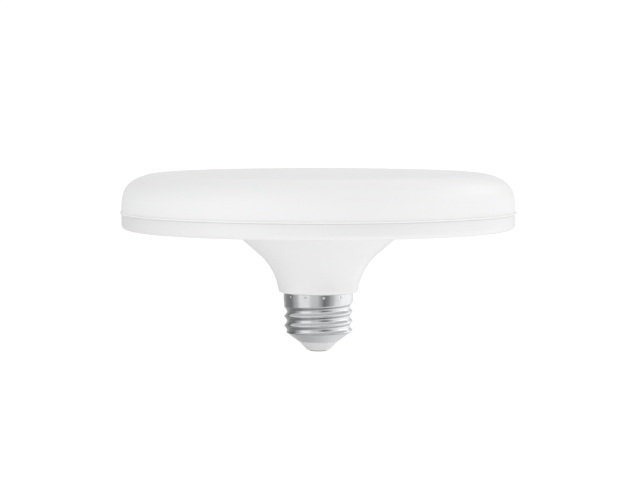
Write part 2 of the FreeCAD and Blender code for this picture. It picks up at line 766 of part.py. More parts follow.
def wire_terminal():
    """Two-pole terminal on the board, with an entry for each lead."""
    body = new_body("wire_terminal")
    block = rectangle(
        body, "TerminalOutline", "terminal_offset", "-terminal_width / 2",
        "terminal_offset + terminal_length", "terminal_width / 2", height=BOARD_TOP)
    pad(body, "TerminalBlock", block, "terminal_height")
    level = f"({BOARD_TOP} + terminal_height / 2)"
    side = "(card_thickness / 2 + part_gap + lead_radius)"
    entries = circles(body, "TerminalEntries", [
        (f"-{side}", level, "lead_radius + part_gap"),
        (side, level, "lead_radius + part_gap"),
    ], role="YZ_Plane", height="terminal_offset")
    pocket(body, "TerminalHoles", entries, "lead_entry + terminal_spare", reverse=True)
    return body


def driver_card():
    """Upright circuit card: a narrow tail in the cap's slots and a wider head in the neck."""
    body = new_body("driver_board")
    tail = f"({TAIL_BORE} + card_slot_depth - card_fit)"
    side = f"({COLLAR_RADIUS} - housing_wall - card_side_gap)"
    profile = outline(body, "CardOutline", [
        (f"-{tail}", CARD_BASE),
        (tail, CARD_BASE),
        (tail, "card_step_height"),
        (side, "card_step_height"),
        (side, "card_top"),
        (f"-{side}", "card_top"),
        (f"-{side}", "card_step_height"),
        (f"-{tail}", "card_step_height"),
    ])
    pad(body, "Card", profile, "card_thickness", midplane=True)
    return body


# Components on the card. The front side faces -Y, the back side +Y.

FRONT = "(-card_thickness / 2)"
BACK = "(card_thickness / 2)"


def block(label, left, near, low, length, depth, height):
    """A rectangular component from its lower front left corner."""
    thing = doc.addObject("Part::Box", label)
    thing.Label = label
    bind(thing, Length=length, Width=depth, Height=height)
    bind(thing, Placement__Base__x=left, Placement__Base__y=near, Placement__Base__z=low)
    return thing


def upright_can(label, across, middle, low, radius, length):
    """A round component that stands along the card."""
    thing = doc.addObject("Part::Cylinder", label)
    thing.Label = label
    bind(thing, Radius=radius, Height=length)
    bind(thing, Placement__Base__x=across, Placement__Base__y=middle, Placement__Base__z=low)
    return thing


def crosswise_can(label, across, face, level, radius, length, to_front):
    """A round component whose axis stands square to the card."""
    thing = doc.addObject("Part::Cylinder", label)
    thing.Label = label
    angle = 90 if to_front else -90
    thing.Placement = FreeCAD.Placement(Vector(), FreeCAD.Rotation(Vector(1, 0, 0), angle))
    bind(thing, Radius=radius, Height=length)
    bind(thing, Placement__Base__x=across, Placement__Base__y=face, Placement__Base__z=level)
    return thing


def joined(label, pieces):
    """One solid made of several overlapping forms."""
    thing = doc.addObject("Part::MultiFuse", label)
    thing.Label = label
    thing.Shapes = pieces
    return thing


def card_components():
    """Everything that is soldered to the card, apart from the transformer and the leads."""
    can_radius = f"(({TAIL_BORE} - card_thickness / 2 - part_gap - input_capacitor_gap) / 2)"
    parts = [
        upright_can(
            "input_capacitor", "0", f"{FRONT} - part_gap - {can_radius}",
            f"{CARD_BASE} + input_capacitor_rise", can_radius, "input_capacitor_length"),
        upright_can(
            "fuse_resistor", "fuse_across", f"{BACK} + part_gap + fuse_radius", f"{CARD_BASE} + fuse_rise",
            "fuse_radius", "fuse_length"),
        upright_can(
            "output_capacitor", "output_capacitor_across",
            f"{BACK} + part_gap + output_capacitor_radius", "output_capacitor_base",
            "output_capacitor_radius", "output_capacitor_length"),
        crosswise_can(
            "varistor", "varistor_across", f"{BACK} + part_gap", "varistor_level", "varistor_radius",
            "varistor_thickness", False),
        block(
            "bridge_rectifier", "rectifier_across - rectifier_length / 2", BACK, "rectifier_base",
            "rectifier_length", "rectifier_height", "rectifier_width"),
        block(
            "film_capacitor", "film_across - film_length / 2", f"{FRONT} - part_gap - film_depth",
            "film_base", "film_length", "film_depth", "film_height"),
        block(
            "driver_ic", "ic_across - ic_length / 2", BACK, "ic_base", "ic_length", "ic_height",
            "ic_width"),
        block(
            "output_diode", "diode_across - diode_length / 2", BACK, "diode_base", "diode_length",
            "diode_height", "diode_width"),
    ]
    near = f"({FRONT} - part_gap)"
    far = f"({near} - choke_length + choke_flange)"
    parts.append(joined("emi_choke", [
        crosswise_can("ChokeCore", "choke_across", near, "choke_level", "choke_core_radius",
                      "choke_length", True),
        crosswise_can("ChokeNearFlange", "choke_across", near, "choke_level", "choke_radius",
                      "choke_flange", True),
        crosswise_can("ChokeFarFlange", "choke_across", far, "choke_level", "choke_radius",
                      "choke_flange", True),
    ]))
    return parts


def transformer():
    """Ferrite core of two E halves, the bobbin on its middle leg and the winding on the bobbin."""
    left = "(core_across - core_width / 2)"
    face = f"({FRONT} - core_stand)"
    near = f"({face} - core_depth)"
    body = new_body("transformer_core")
    frame = rectangle(body, "CoreFrame", left, "core_base", f"{left} + core_width",
                      "core_base + core_height", role="XZ_Plane", height=f"-{near}")
    pad(body, "CoreBlock", frame, "core_depth", reverse=True)
    low = "(core_base + core_back)"
    high = "(core_base + core_height - core_back)"
    middle_left = "(core_across - core_centre_leg / 2)"
    middle_right = "(core_across + core_centre_leg / 2)"
    for name, window_left, window_right in (
        ("LeftWindow", f"{left} + core_leg", middle_left),
        ("RightWindow", middle_right, f"{left} + core_width - core_leg"),
    ):
        window = rectangle(body, f"{name}Outline", window_left, low, window_right, high,
                           role="XZ_Plane", height=f"-{near}")
        pocket(body, name, window, "core_depth")
    return body


def bobbin_and_winding():
    """Moulded bobbin with a foot on the card, and the copper winding between its flanges."""
    near = f"({FRONT} - core_stand - core_depth)"
    far = f"({FRONT} - core_stand)"
    low = "(core_base + core_back)"
    high = "(core_base + core_height - core_back)"
    hole = "(core_centre_leg / 2 + bobbin_fit)"
    tube = f"({hole} + bobbin_wall)"
    coil = "(core_width / 2 - core_leg - winding_margin)"
    front = f"(-({near}) + bobbin_fit)"
    back = f"(-({far}) - bobbin_fit)"
    swell = f"({coil} - {tube})"

    def layer(body, name, half, reach, base, height):
        """A rectangular layer round the core's middle leg."""
        sketch = rectangle(
            body, f"{name}Outline", f"core_across - {half}", f"-({front}) - {reach}",
            f"core_across + {half}", f"-({back}) + {reach}", height=base)
        return pad(body, name, sketch, height)

    body = new_body("transformer_bobbin")
    layer(body, "BobbinTube", tube, "bobbin_wall", low, f"{high} - {low}")
    layer(body, "LowerFlange", coil, f"(bobbin_wall + {swell})", low, "bobbin_wall")
    layer(body, "UpperFlange", coil, f"(bobbin_wall + {swell})", f"{high} - bobbin_wall", "bobbin_wall")
    foot = rectangle(
        body, "FootOutline", f"core_across - {coil}", f"{far} + bobbin_fit",
        f"core_across + {coil}", FRONT, height="core_base")
    pad(body, "Foot", foot, "core_back + bobbin_wall")
    leg = rectangle(
        body, "LegHoleOutline", f"core_across - {hole}", f"-({front})", f"core_across + {hole}",
        f"-({back})", height="core_base")
    pocket(body, "LegHole", leg, "core_height", reverse=True)

    winding = new_body("transformer_winding")
    base = f"({low} + bobbin_wall)"
    height = f"({high} - {low} - 2 * bobbin_wall)"
    outer = rectangle(
        winding, "CoilOutline", f"core_across - {coil}", f"-({front}) - bobbin_wall - {swell}",
        f"core_across + {coil}", f"-({back}) + bobbin_wall + {swell}", height=base)
    pad(winding, "Coil", outer, height)
    inner = rectangle(
        winding, "CoilHoleOutline", f"core_across - {tube}", f"-({front}) - bobbin_wall",
        f"core_across + {tube}", f"-({back}) + bobbin_wall", height=base)
    pocket(winding, "CoilHole", inner, height, reverse=True)
    return [body, winding]


def bent_lead(label, role, height, start, elbow, end, bend, first_is_level):
    """A round lead with one bend: straight from its start to the elbow, then straight to its end."""
    body = new_body(label)
    spine = empty_sketch(body, f"{label}_route", role, height)
    across = f"({elbow[0]})"
    up = f"({elbow[1]})"
    if first_is_level:
        before = (f"{across} - {bend}", up)
        after = (across, f"{up} + {bend}")
        centre = Vector(number(before[0]), number(after[1]), 0)
        angles = (-math.pi / 2, 0)
        order = (1, 2)
    else:
        before = (across, f"{up} - {bend}")
        after = (f"{across} + {bend}", up)
        centre = Vector(number(after[0]), number(before[1]), 0)
        angles = (math.pi / 2, math.pi)
        order = (2, 1)
    spots = [Vector(number(x), number(y), 0) for x, y in (start, before, after, end)]
    first = spine.addGeometry(Part.LineSegment(spots[0], spots[1]), False)
    circle = Part.Circle(centre, Vector(0, 0, 1), number(bend))
    arc = spine.addGeometry(Part.ArcOfCircle(circle, *angles), False)
    last = spine.addGeometry(Part.LineSegment(spots[2], spots[3]), False)
    spine.addConstraint(Sketcher.Constraint("Coincident", first, 2, arc, order[0]))
    spine.addConstraint(Sketcher.Constraint("Coincident", arc, order[1], last, 1))
    place(spine, first, 1, *start)
    place(spine, first, 2, *before)
    place(spine, last, 1, *after)
    place(spine, last, 2, *end)
    index = spine.addConstraint(Sketcher.Constraint("Radius", arc, number(bend)))
    spine.setExpression(f"Constraints[{index}]", bound(bend))
    return body, spine


def pipe(body, section, spine):
    """Carries a round section along a route."""
    doc.recompute()
    feature = body.newObject("PartDesign::AdditivePipe", f"{body.Label}_pipe")
    feature.Profile = section
    feature.Spine = (spine, [])
    finish(body, feature)
    return body


def leads():
    """Leads from the card to the board's terminal, to the centre contact and to the threaded shell."""
    made = []
    level = f"({BOARD_TOP} + terminal_height / 2)"
    start = "(card_top - lead_overlap)"
    side = "(card_thickness / 2 + part_gap + lead_radius)"
    for label, offset in (("led_lead_positive", side), ("led_lead_negative", f"(-{side})")):
        body, spine = bent_lead(
            label, "XZ_Plane", f"-{offset}", ("lead_across", start),
            ("lead_across", level), ("terminal_offset + lead_entry", level), "lead_bend", False)
        section = circles(
            body, f"{label}_section", [("lead_across", offset, "lead_radius")], height=start)
        made.append(pipe(body, section, spine))

    contact = upright_can(
        "contact_lead", "0", "0", f"-{INSULATOR_END}", "cap_lead_radius",
        f"{INSULATOR_END} + {CARD_BASE}")
    made.append(contact)

    reach = f"({ROOT_BORE} - cap_lead_gap - cap_lead_radius)"
    base = f"({CARD_BASE} + cap_lead_level)"
    body, spine = bent_lead(
        "shell_lead", "YZ_Plane", "0", (BACK, base), (reach, base),
        (reach, f"{base} + cap_lead_height"), "cap_lead_bend", True)
    section = circles(
        body, "shell_lead_section", [("0", base, "cap_lead_radius")], role="XZ_Plane", height=f"-{BACK}")
    made.append(pipe(body, section, spine))
    return made


def checked(objects):
    """Stops on any object that failed and on any sub-part without a sound solid."""
    for thing in doc.Objects:
        if "Invalid" in thing.State or "Error" in thing.State:
            raise RuntimeError(f"{thing.Name}: {thing.State}")
    for thing in objects:
        if thing.Shape.isNull() or not thing.Shape.isValid() or not thing.Shape.Solids:
            raise RuntimeError(f"{thing.Label} has no valid solid")


parts = [
    lamp_housing(),
    diffuser_cover(),
    heat_spreader(),
    led_board(),
    led_packages(),
    board_screws(),
    screw_shell(),
    cap_insulator(),
    centre_contact(),
    wire_terminal(),
    driver_card(),
    transformer(),
]
parts += card_components()
parts += bobbin_and_winding()
parts += leads()
doc.recompute()
checked(parts)
os.makedirs("parts", exist_ok=True)
for part in parts:
    part.Shape.exportStep(f"parts/{part.Label}.step")
    print(part.Label, len(part.Shape.Solids), round(part.Shape.Volume, 2))
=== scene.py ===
# %% [markdown]
# # LED disc lamp
#
# The real lamp is a wide, flat disc of opal plastic on a white moulded housing. The housing
# narrows in a flare to a collar, and a rolled metal screw cap is crimped on below it. The solids
# come from the CAD model, in metres, with the origin on the axis where the metal cap meets the
# collar. This script dresses them: the five pieces that can be seen are built again as smooth
# forms, and everything inside keeps its solid and gets a finish.

# %% Load the frame
import json
import math

import bmesh
import bpy
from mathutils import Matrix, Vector


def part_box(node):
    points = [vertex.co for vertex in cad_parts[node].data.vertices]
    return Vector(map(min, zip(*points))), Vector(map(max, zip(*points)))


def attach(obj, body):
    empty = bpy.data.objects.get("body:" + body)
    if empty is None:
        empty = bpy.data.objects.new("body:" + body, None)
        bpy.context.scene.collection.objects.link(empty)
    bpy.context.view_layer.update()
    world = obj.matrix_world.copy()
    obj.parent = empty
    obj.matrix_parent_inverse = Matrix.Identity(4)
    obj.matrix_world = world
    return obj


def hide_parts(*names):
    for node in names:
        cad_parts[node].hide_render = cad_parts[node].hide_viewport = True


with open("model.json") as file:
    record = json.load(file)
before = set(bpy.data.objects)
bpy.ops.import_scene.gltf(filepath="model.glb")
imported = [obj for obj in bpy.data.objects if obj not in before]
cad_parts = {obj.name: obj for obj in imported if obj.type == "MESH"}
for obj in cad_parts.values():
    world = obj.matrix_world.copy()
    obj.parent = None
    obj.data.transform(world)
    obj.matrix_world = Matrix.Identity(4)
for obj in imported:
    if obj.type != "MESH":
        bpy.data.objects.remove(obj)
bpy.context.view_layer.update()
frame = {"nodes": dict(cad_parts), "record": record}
scene = bpy.context.scene
MM = 0.001


# %% [markdown]
# ## Camera
#
# A long lens well back gives the flat look of a catalogue picture. The lamp could be framed by
# eye, but its parting line and its top edge are two rings whose heights are known, so the
# distance and the pitch were worked out from how round those rings look. The camera stands
# straight in front of the lamp and looks down by less than four degrees.

# %% Camera
LENS, SENSOR_WIDTH = 125.4, 36.0
STAND = Vector((0.65, -850.0, 74.55)) * MM
PITCH = math.radians(3.677)
NEAREST, FARTHEST = 10 * MM, 50.0

camera_data = bpy.data.cameras.new("camera")
camera_data.sensor_width = SENSOR_WIDTH
camera_data.lens = LENS
camera_data.clip_start = NEAREST
camera_data.clip_end = FARTHEST
camera = bpy.data.objects.new("camera", camera_data)
camera.location = STAND
camera.rotation_euler = (math.pi / 2 - PITCH, 0.0, 0.0)
scene.collection.objects.link(camera)
scene.camera = camera
print("camera at", [round(v, 3) for v in STAND], "pitch", round(math.degrees(PITCH), 2))

# %% [markdown]
# ## Helpers for node trees
#
# Materials, node groups and the sky are all trees of nodes. Each could be laid out by hand, line
# by line, but most of the work is the same three steps: add a node, set it up, feed its inputs.
# A helper for each kind of node does the three at once and gives back the output, so a formula in
# the script reads much like the formula on paper.

# %% Node helpers
NOISE_MIDDLE = 0.5


def feed(tree, value, socket):
    """Feeds an input from another node's output, or sets it to a plain value."""
    if isinstance(value, bpy.types.NodeSocket):
        tree.links.new(value, socket)
    else:
        socket.default_value = value


def math_node(tree, operation, *values):
    """A Math node and its inputs."""
    node = tree.nodes.new("ShaderNodeMath")
    node.operation = operation
    for value, socket in zip(values, node.inputs):
        feed(tree, value, socket)
    return node.outputs[0]


def colour_mix(tree, share, first, second):
    """A Mix node for two colours."""
    node = tree.nodes.new("ShaderNodeMix")
    node.data_type = "RGBA"
    for name, value in (("Factor", share), ("A", first), ("B", second)):
        feed(tree, value, node.inputs[name])
    return node.outputs["Result"]


def ramp_up(tree, value, low, high):
    """Goes from 0 to 1 while the value goes from low to high."""
    node = tree.nodes.new("ShaderNodeMapRange")
    feed(tree, value, node.inputs["Value"])
    node.inputs["From Min"].default_value = low
    node.inputs["From Max"].default_value = high
    return node.outputs["Result"]


def scaled(tree, colour, factor):
    """A colour made brighter or darker by a factor."""
    node = tree.nodes.new("ShaderNodeVectorMath")
    node.operation = "SCALE"
    feed(tree, colour, node.inputs[0])
    feed(tree, factor, node.inputs["Scale"])
    return node.outputs[0]


def noise_node(tree, place, scale, detail, roughness=0.5):
    """A noise texture."""
    node = tree.nodes.new("ShaderNodeTexNoise")
    settings = (("Vector", place), ("Scale", scale), ("Detail", detail), ("Roughness", roughness))
    for name, value in settings:
        feed(tree, value, node.inputs[name])
    return node.outputs["Fac"]


def swing(tree, noise):
    """Noise measured from its middle, so that it adds as much as it takes away."""
    return math_node(tree, "SUBTRACT", noise, NOISE_MIDDLE)


def grey(level):
    """A colour value for a level of grey."""
    return (level, level, level, 1.0)


print("node helpers ready, grey looks like", grey(0.5))

# %% [markdown]
# ## Floor
#
# The picture has a background of clean white with no shadow. A real studio gets that with a sweep
# of white paper that is lit more strongly than the object. Here the floor is a plain pale sheet
# that also glows a little, so the shade under the disc stays light, and the camera itself sees it
# as plain white. It is left out of mirror-like reflections, because the sky below the horizon
# stands in for it there and can be graded.

# %% Floor
FLOOR_REACH = 6.0
FLOOR_COLOUR, FLOOR_ROUGHNESS = 0.32, 0.9
FLOOR_GLOW = 0.83
WHITE = 1.05
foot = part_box("centre_contact")[0].z

floor_mesh = bpy.data.meshes.new("floor")
floor_corners = [(-FLOOR_REACH, -FLOOR_REACH, foot), (FLOOR_REACH, -FLOOR_REACH, foot),
                 (FLOOR_REACH, FLOOR_REACH, foot), (-FLOOR_REACH, FLOOR_REACH, foot)]
floor_mesh.from_pydata(floor_corners, [], [(0, 1, 2, 3)])
floor = bpy.data.objects.new("floor", floor_mesh)
scene.collection.objects.link(floor)
floor.visible_glossy = False
print("floor at", round(foot / MM, 2), "mm")

# %% Paper of the floor
paper = bpy.data.materials.new("floor_paper")
paper.use_nodes = True
paper_tree = paper.node_tree
lit_sheet = paper_tree.nodes["Principled BSDF"]
lit_sheet.inputs["Base Color"].default_value = grey(FLOOR_COLOUR)
lit_sheet.inputs["Roughness"].default_value = FLOOR_ROUGHNESS
lit_sheet.inputs["Emission Color"].default_value = grey(1.0)
lit_sheet.inputs["Emission Strength"].default_value = FLOOR_GLOW
white_sheet = paper_tree.nodes.new("ShaderNodeEmission")
white_sheet.inputs["Strength"].default_value = WHITE
sight = paper_tree.nodes.new("ShaderNodeLightPath")
either = paper_tree.nodes.new("ShaderNodeMixShader")
feed(paper_tree, sight.outputs["Is Camera Ray"], either.inputs["Fac"])
feed(paper_tree, lit_sheet.outputs[0], either.inputs[1])
feed(paper_tree, white_sheet.outputs[0], either.inputs[2])
feed(paper_tree, either.outputs[0], paper_tree.nodes["Material Output"].inputs["Surface"])
floor_mesh.materials.append(paper)
print("floor finish:", paper.name)

# %% [markdown]
# ## Studio light
#
# White plastic looks flat and metal looks like paper unless the light differs from place to
# place. Area lamps and black cards could be set up round the lamp, as in a studio. The sky can do
# the same job with no noise. For what a shiny surface mirrors, it is divided by compass angle
# into bright panels and dark gaps, which stand out more above the horizon, with a ceiling above
# and a graded floor below. For the soft light on the plastic it is a dome that is nearly even: a
# little warmer and dimmer on the right, and a little brighter overhead.

# %% Sky: panels to mirror
# Each stop is (angle in degrees to the right of the camera's side, brightness).
PANELS = [(-180, 0.74), (-158, 0.52), (-130, 0.26), (-104, 0.2), (-80, 0.46), (-60, 0.9),
          (-36, 0.9), (-20, 0.64), (-4, 0.62), (8, 0.4), (20, 0.18), (32, 0.25), (46, 0.48),
          (64, 0.84), (92, 1.08), (126, 1.12), (150, 0.95), (166, 0.78), (180, 0.74)]

world = bpy.data.worlds.new("studio")
scene.world = world
world.use_nodes = True
sky = world.node_tree
sky.nodes.clear()
split = sky.nodes.new("ShaderNodeSeparateXYZ")
feed(sky, sky.nodes.new("ShaderNodeTexCoord").outputs["Generated"], split.inputs[0])
rightwards, backwards, upwards = split.outputs

forwards = math_node(sky, "MULTIPLY", backwards, -1.0)
compass = math_node(sky, "ARCTAN2", rightwards, forwards)
panels = sky.nodes.new("ShaderNodeValToRGB")
panels.color_ramp.interpolation = "EASE"
stops = panels.color_ramp.elements
stops[0].position = 0.0
stops[1].position = 1.0
for angle, _ in PANELS[1:-1]:
    stops.new((angle + 180) / 360)
for stop, (_, level) in zip(stops, PANELS):
    stop.color = grey(level)
feed(sky, ramp_up(sky, compass, -math.pi, math.pi), panels.inputs["Fac"])
print("sky panels:", len(stops))

# %% Sky: height, soft light and what the camera sees
UPPER_CONTRAST, CONTRAST_FROM, CONTRAST_TO = 1.5, 0.2, 0.5
CEILING, CEILING_FROM, CEILING_TO = 0.55, 0.6, 0.95
BELOW_LEVEL, BELOW_SIDE = 0.6, 0.42
BELOW_FROM, BELOW_TO = -0.45, -0.92
SOFT_LEFT = (1.0, 1.005, 1.01, 1.0)
SOFT_RIGHT = (0.935, 0.932, 0.92, 1.0)
SOFT_RISE = 0.1

contrast = math_node(sky, "MULTIPLY_ADD", panels.outputs["Color"], UPPER_CONTRAST, -1.0)
high_up = ramp_up(sky, upwards, CONTRAST_FROM, CONTRAST_TO)
lift = math_node(sky, "MULTIPLY_ADD", high_up, contrast, 1.0)
walls = scaled(sky, panels.outputs["Color"], lift)
below = math_node(sky, "MULTIPLY_ADD", rightwards, BELOW_SIDE, BELOW_LEVEL)
lower = colour_mix(sky, ramp_up(sky, upwards, BELOW_FROM, BELOW_TO), walls, below)
overhead = ramp_up(sky, upwards, CEILING_FROM, CEILING_TO)
mirrored = colour_mix(sky, overhead, lower, grey(CEILING))

side_light = colour_mix(sky, ramp_up(sky, rightwards, -1.0, 1.0), SOFT_LEFT, SOFT_RIGHT)
soft = scaled(sky, side_light, math_node(sky, "MULTIPLY_ADD", upwards, SOFT_RISE, 1.0))

rays = sky.nodes.new("ShaderNodeLightPath")
lit = colour_mix(sky, rays.outputs["Is Glossy Ray"], soft, mirrored)
seen = colour_mix(sky, rays.outputs["Is Camera Ray"], lit, grey(WHITE))
glow = sky.nodes.new("ShaderNodeBackground")
feed(sky, seen, glow.inputs["Color"])
feed(sky, glow.outputs[0], sky.nodes.new("ShaderNodeOutputWorld").inputs["Surface"])
scene.view_settings.view_transform = "Standard"
print("sky nodes:", len(sky.nodes))

# %% [markdown]
# ## Surface of moulded plastic
#
# Every plastic piece in the lamp comes out of a steel mould, so they share one effect: a very
# fine grain, faint clouds of tone where the plastic cooled unevenly, and smears that are a little
# more or less glossy. An effect that several finishes use is best kept as a node group. It gives
# out a colour, a roughness and a height, and each finish sets its own amounts on it.

# %% Group: moulded surface
COLOUR, NUMBER = "NodeSocketColor", "NodeSocketFloat"
SURFACE_OUTS = [("Colour", COLOUR), ("Roughness", NUMBER), ("Height", NUMBER)]
CLOUD_SCALE, CLOUD_DETAIL = 38.0, 3.0
SMEAR_SCALE, SMEAR_DETAIL = 90.0, 2.0
GRAIN_SCALE, GRAIN_DETAIL = 2500.0, 2.0


def new_group(name, ins, outs):
    """A node group, its input values and its output sockets.

    Each of the ins is (name, kind, default value), each of the outs is (name, kind).
    """
    group = bpy.data.node_groups.new(name, "ShaderNodeTree")
    for label, kind, value in ins:
        socket = group.interface.new_socket(name=label, in_out="INPUT", socket_type=kind)
        socket.default_value = value
    for label, kind in outs:
        group.interface.new_socket(name=label, in_out="OUTPUT", socket_type=kind)
    inlet = group.nodes.new("NodeGroupInput")
    outlet = group.nodes.new("NodeGroupOutput")
    return group, inlet.outputs, outlet.inputs


moulded_surface, given, result = new_group("moulded_surface", [
    ("Colour", COLOUR, grey(0.8)), ("Cloud", NUMBER, 0.02), ("Roughness", NUMBER, 0.35),
    ("Smear", NUMBER, 0.05), ("Grain scale", NUMBER, GRAIN_SCALE)], SURFACE_OUTS)
where = moulded_surface.nodes.new("ShaderNodeTexCoord").outputs["Object"]
cloud = swing(moulded_surface, noise_node(moulded_surface, where, CLOUD_SCALE, CLOUD_DETAIL))
clouded = math_node(moulded_surface, "MULTIPLY_ADD", cloud, given["Cloud"], 1.0)
feed(moulded_surface, scaled(moulded_surface, given["Colour"], clouded), result["Colour"])
smear = swing(moulded_surface, noise_node(moulded_surface, where, SMEAR_SCALE, SMEAR_DETAIL))
smeared = math_node(moulded_surface, "MULTIPLY_ADD", smear, given["Smear"], given["Roughness"])
feed(moulded_surface, smeared, result["Roughness"])
grain = noise_node(moulded_surface, where, given["Grain scale"], GRAIN_DETAIL)
feed(moulded_surface, grain, result["Height"])
print("group:", moulded_surface.name, "nodes", len(moulded_surface.nodes))

# %% [markdown]
# ## Surface of worked metal
#
# The metal pieces were rolled, stamped or drawn. Such a surface has hair-fine marks that run
# along the way the tool went, and stains where the plating is thin. For the cap the tool ran
# round the axis, so the noise is squeezed in height: stripes come from sampling the noise at a
# much finer scale along Z than round the piece.

# %% Group: worked metal
ROUND_THE_PIECE = (0.08, 0.08, 1.0)
MARK_DETAIL, MARK_RAGGEDNESS = 3.0, 0.6
STAIN_SCALE, STAIN_DETAIL, STAIN_RAGGEDNESS = 210.0, 5.0, 0.62
STAIN_FROM, STAIN_TO = 0.48, 0.72
STAIN_ROUGHNESS = 0.15

worked_metal, given, result = new_group("worked_metal", [
    ("Colour", COLOUR, grey(0.7)), ("Stain colour", COLOUR, grey(0.5)), ("Stain", NUMBER, 0.3),
    ("Roughness", NUMBER, 0.2), ("Streak", NUMBER, 0.1), ("Mark scale", NUMBER, 900.0)],
    SURFACE_OUTS)
where = worked_metal.nodes.new("ShaderNodeTexCoord").outputs["Object"]
squeeze = worked_metal.nodes.new("ShaderNodeMapping")
squeeze.inputs["Scale"].default_value = ROUND_THE_PIECE
feed(worked_metal, where, squeeze.inputs["Vector"])
marks = noise_node(worked_metal, squeeze.outputs[0], given["Mark scale"], MARK_DETAIL,
                   MARK_RAGGEDNESS)
blots = noise_node(worked_metal, where, STAIN_SCALE, STAIN_DETAIL, STAIN_RAGGEDNESS)
stains = ramp_up(worked_metal, blots, STAIN_FROM, STAIN_TO)
stained = math_node(worked_metal, "MULTIPLY", stains, given["Stain"])
tone = colour_mix(worked_metal, stained, given["Colour"], given["Stain colour"])
feed(worked_metal, tone, result["Colour"])
streak = swing(worked_metal, marks)
streaked = math_node(worked_metal, "MULTIPLY_ADD", streak, given["Streak"], given["Roughness"])
dulled = math_node(worked_metal, "MULTIPLY_ADD", stained, STAIN_ROUGHNESS, streaked)
feed(worked_metal, dulled, result["Roughness"])
feed(worked_metal, marks, result["Height"])
print("group:", worked_metal.name, "nodes", len(worked_metal.nodes))

# %% [markdown]
# ## Two kinds of finish
#
# A finish is a material that holds one of the groups, a Bump node for the grain and the shader
# itself. Numbers that are the same all over, such as the index of refraction, stay on the
# shader's own sockets.

# %% Finish makers
GRAIN_DEPTH = 0.02 * MM
MARK_DEPTH = 0.01 * MM
PLASTIC_SMEAR = 0.06


def finish_from(group, name, amounts, bump, depth, shader_settings):
    """A material whose colour, roughness and fine relief come from a surface group."""
    material = bpy.data.materials.new(name)
    material.use_nodes = True
    tree = material.node_tree
    shader = tree.nodes["Principled BSDF"]
    surface = tree.nodes.new("ShaderNodeGroup")
    surface.node_tree = group
    for socket, value in amounts.items():
        surface.inputs[socket].default_value = value
    relief = tree.nodes.new("ShaderNodeBump")
    relief.inputs["Strength"].default_value = bump
    relief.inputs["Distance"].default_value = depth
    feed(tree, surface.outputs["Height"], relief.inputs["Height"])
    feed(tree, surface.outputs["Colour"], shader.inputs["Base Color"])
    feed(tree, surface.outputs["Roughness"], shader.inputs["Roughness"])
    feed(tree, relief.outputs["Normal"], shader.inputs["Normal"])
    for socket, value in shader_settings.items():
        shader.inputs[socket].default_value = value
    return material


def plastic(name, colour, roughness=0.35, cloud=0.03, bump=0.12, shader_settings=None):
    """A finish of moulded plastic or of something with as even a skin."""
    amounts = {"Colour": (*colour, 1.0), "Cloud": cloud, "Roughness": roughness,
               "Smear": PLASTIC_SMEAR, "Grain scale": GRAIN_SCALE}
    return finish_from(moulded_surface, name, amounts, bump, GRAIN_DEPTH, shader_settings or {})


def metal(name, colour, stain_colour, stain=0.3, roughness=0.25, streak=0.1, marks=900.0,
          bump=0.1):
    """A finish of bare or plated metal."""
    amounts = {"Colour": (*colour, 1.0), "Stain colour": (*stain_colour, 1.0), "Stain": stain,
               "Roughness": roughness, "Streak": streak, "Mark scale": marks}
    return finish_from(worked_metal, name, amounts, bump, MARK_DEPTH, {"Metallic": 1.0})


print("finish makers: plastic, metal")

# %% [markdown]
# ## Turned forms
#
# The cover, the housing, the insulator and the contact are all round about one axis. They could
# be made with a Screw modifier on a drawn curve, but an outline of radius and height that is
# swept by a short loop gives full control of the number of points and closes the surface by
# itself. Round corners in the outline come from one formula for an arc, so a corner is named by
# its centre, its radius and its two angles.

# %% Turned forms
ON_AXIS = 1e-7


def on_arc(centre_r, centre_z, radius, degrees):
    """A point of an arc. The angle is measured upwards from the way that points outwards."""
    angle = math.radians(degrees)
    return centre_r + radius * math.cos(angle), centre_z + radius * math.sin(angle)


def arc(centre_r, centre_z, radius, first, last, steps):
    """Points along an arc of an outline, from the first angle to the last."""
    return [on_arc(centre_r, centre_z, radius, first + (last - first) * step / steps)
            for step in range(steps + 1)]


def ring_faces(rings):
    """Faces between neighbouring rings of points, and between the last ring and the first."""
    faces = []
    for low, high in zip(rings, rings[1:] + rings[:1]):
        turns = max(len(low), len(high))
        if turns == 1:
            continue
        for turn in range(turns):
            following = (turn + 1) % turns
            if len(low) == 1:
                faces.append((low[0], high[following], high[turn]))
            elif len(high) == 1:
                faces.append((low[turn], low[following], high[0]))
            else:
                faces.append((low[turn], low[following], high[following], high[turn]))
    return faces


def turned(outline, segments, centre=(0.0, 0.0)):
    """Points and faces of a closed outline of (radius, height), swept round an upright axis."""
    points = []
    rings = []
    for radius, level in outline:
        turns = 1 if radius < ON_AXIS else segments
        rings.append(list(range(len(points), len(points) + turns)))
        for turn in range(turns):
            angle = 2 * math.pi * turn / turns
            x = centre[0] + radius * math.cos(angle)
            y = centre[1] + radius * math.sin(angle)
            points.append((x, y, level))
    return points, ring_faces(rings)


print("corner test:", [round(v, 3) for v in on_arc(0.0, 0.0, 1.0, 45.0)])

# %% [markdown]
# ## Ribs, lugs and pockets
#
# Moulded pieces also have small forms that repeat round the axis: ribs, bosses, snap lugs, slots.
# Their solids are simple, a box or a short sweep of a few corners, and the work lies in joining
# them cleanly to the turned form. A Boolean does that, in place, and its result is taken as the
# piece's new mesh, so no hidden tool stays in the scene.

# %% Small forms
SWEEP_STEPS = 6


def places(count, first=0.0):
    """Angles in degrees of so many places, evenly round the axis."""
    return [first + 360 * number / count for number in range(count)]


def spun(point, degrees):
    """A point turned about the vertical axis."""
    angle = math.radians(degrees)
    x, y, z = point
    return x * math.cos(angle) - y * math.sin(angle), x * math.sin(angle) + y * math.cos(angle), z


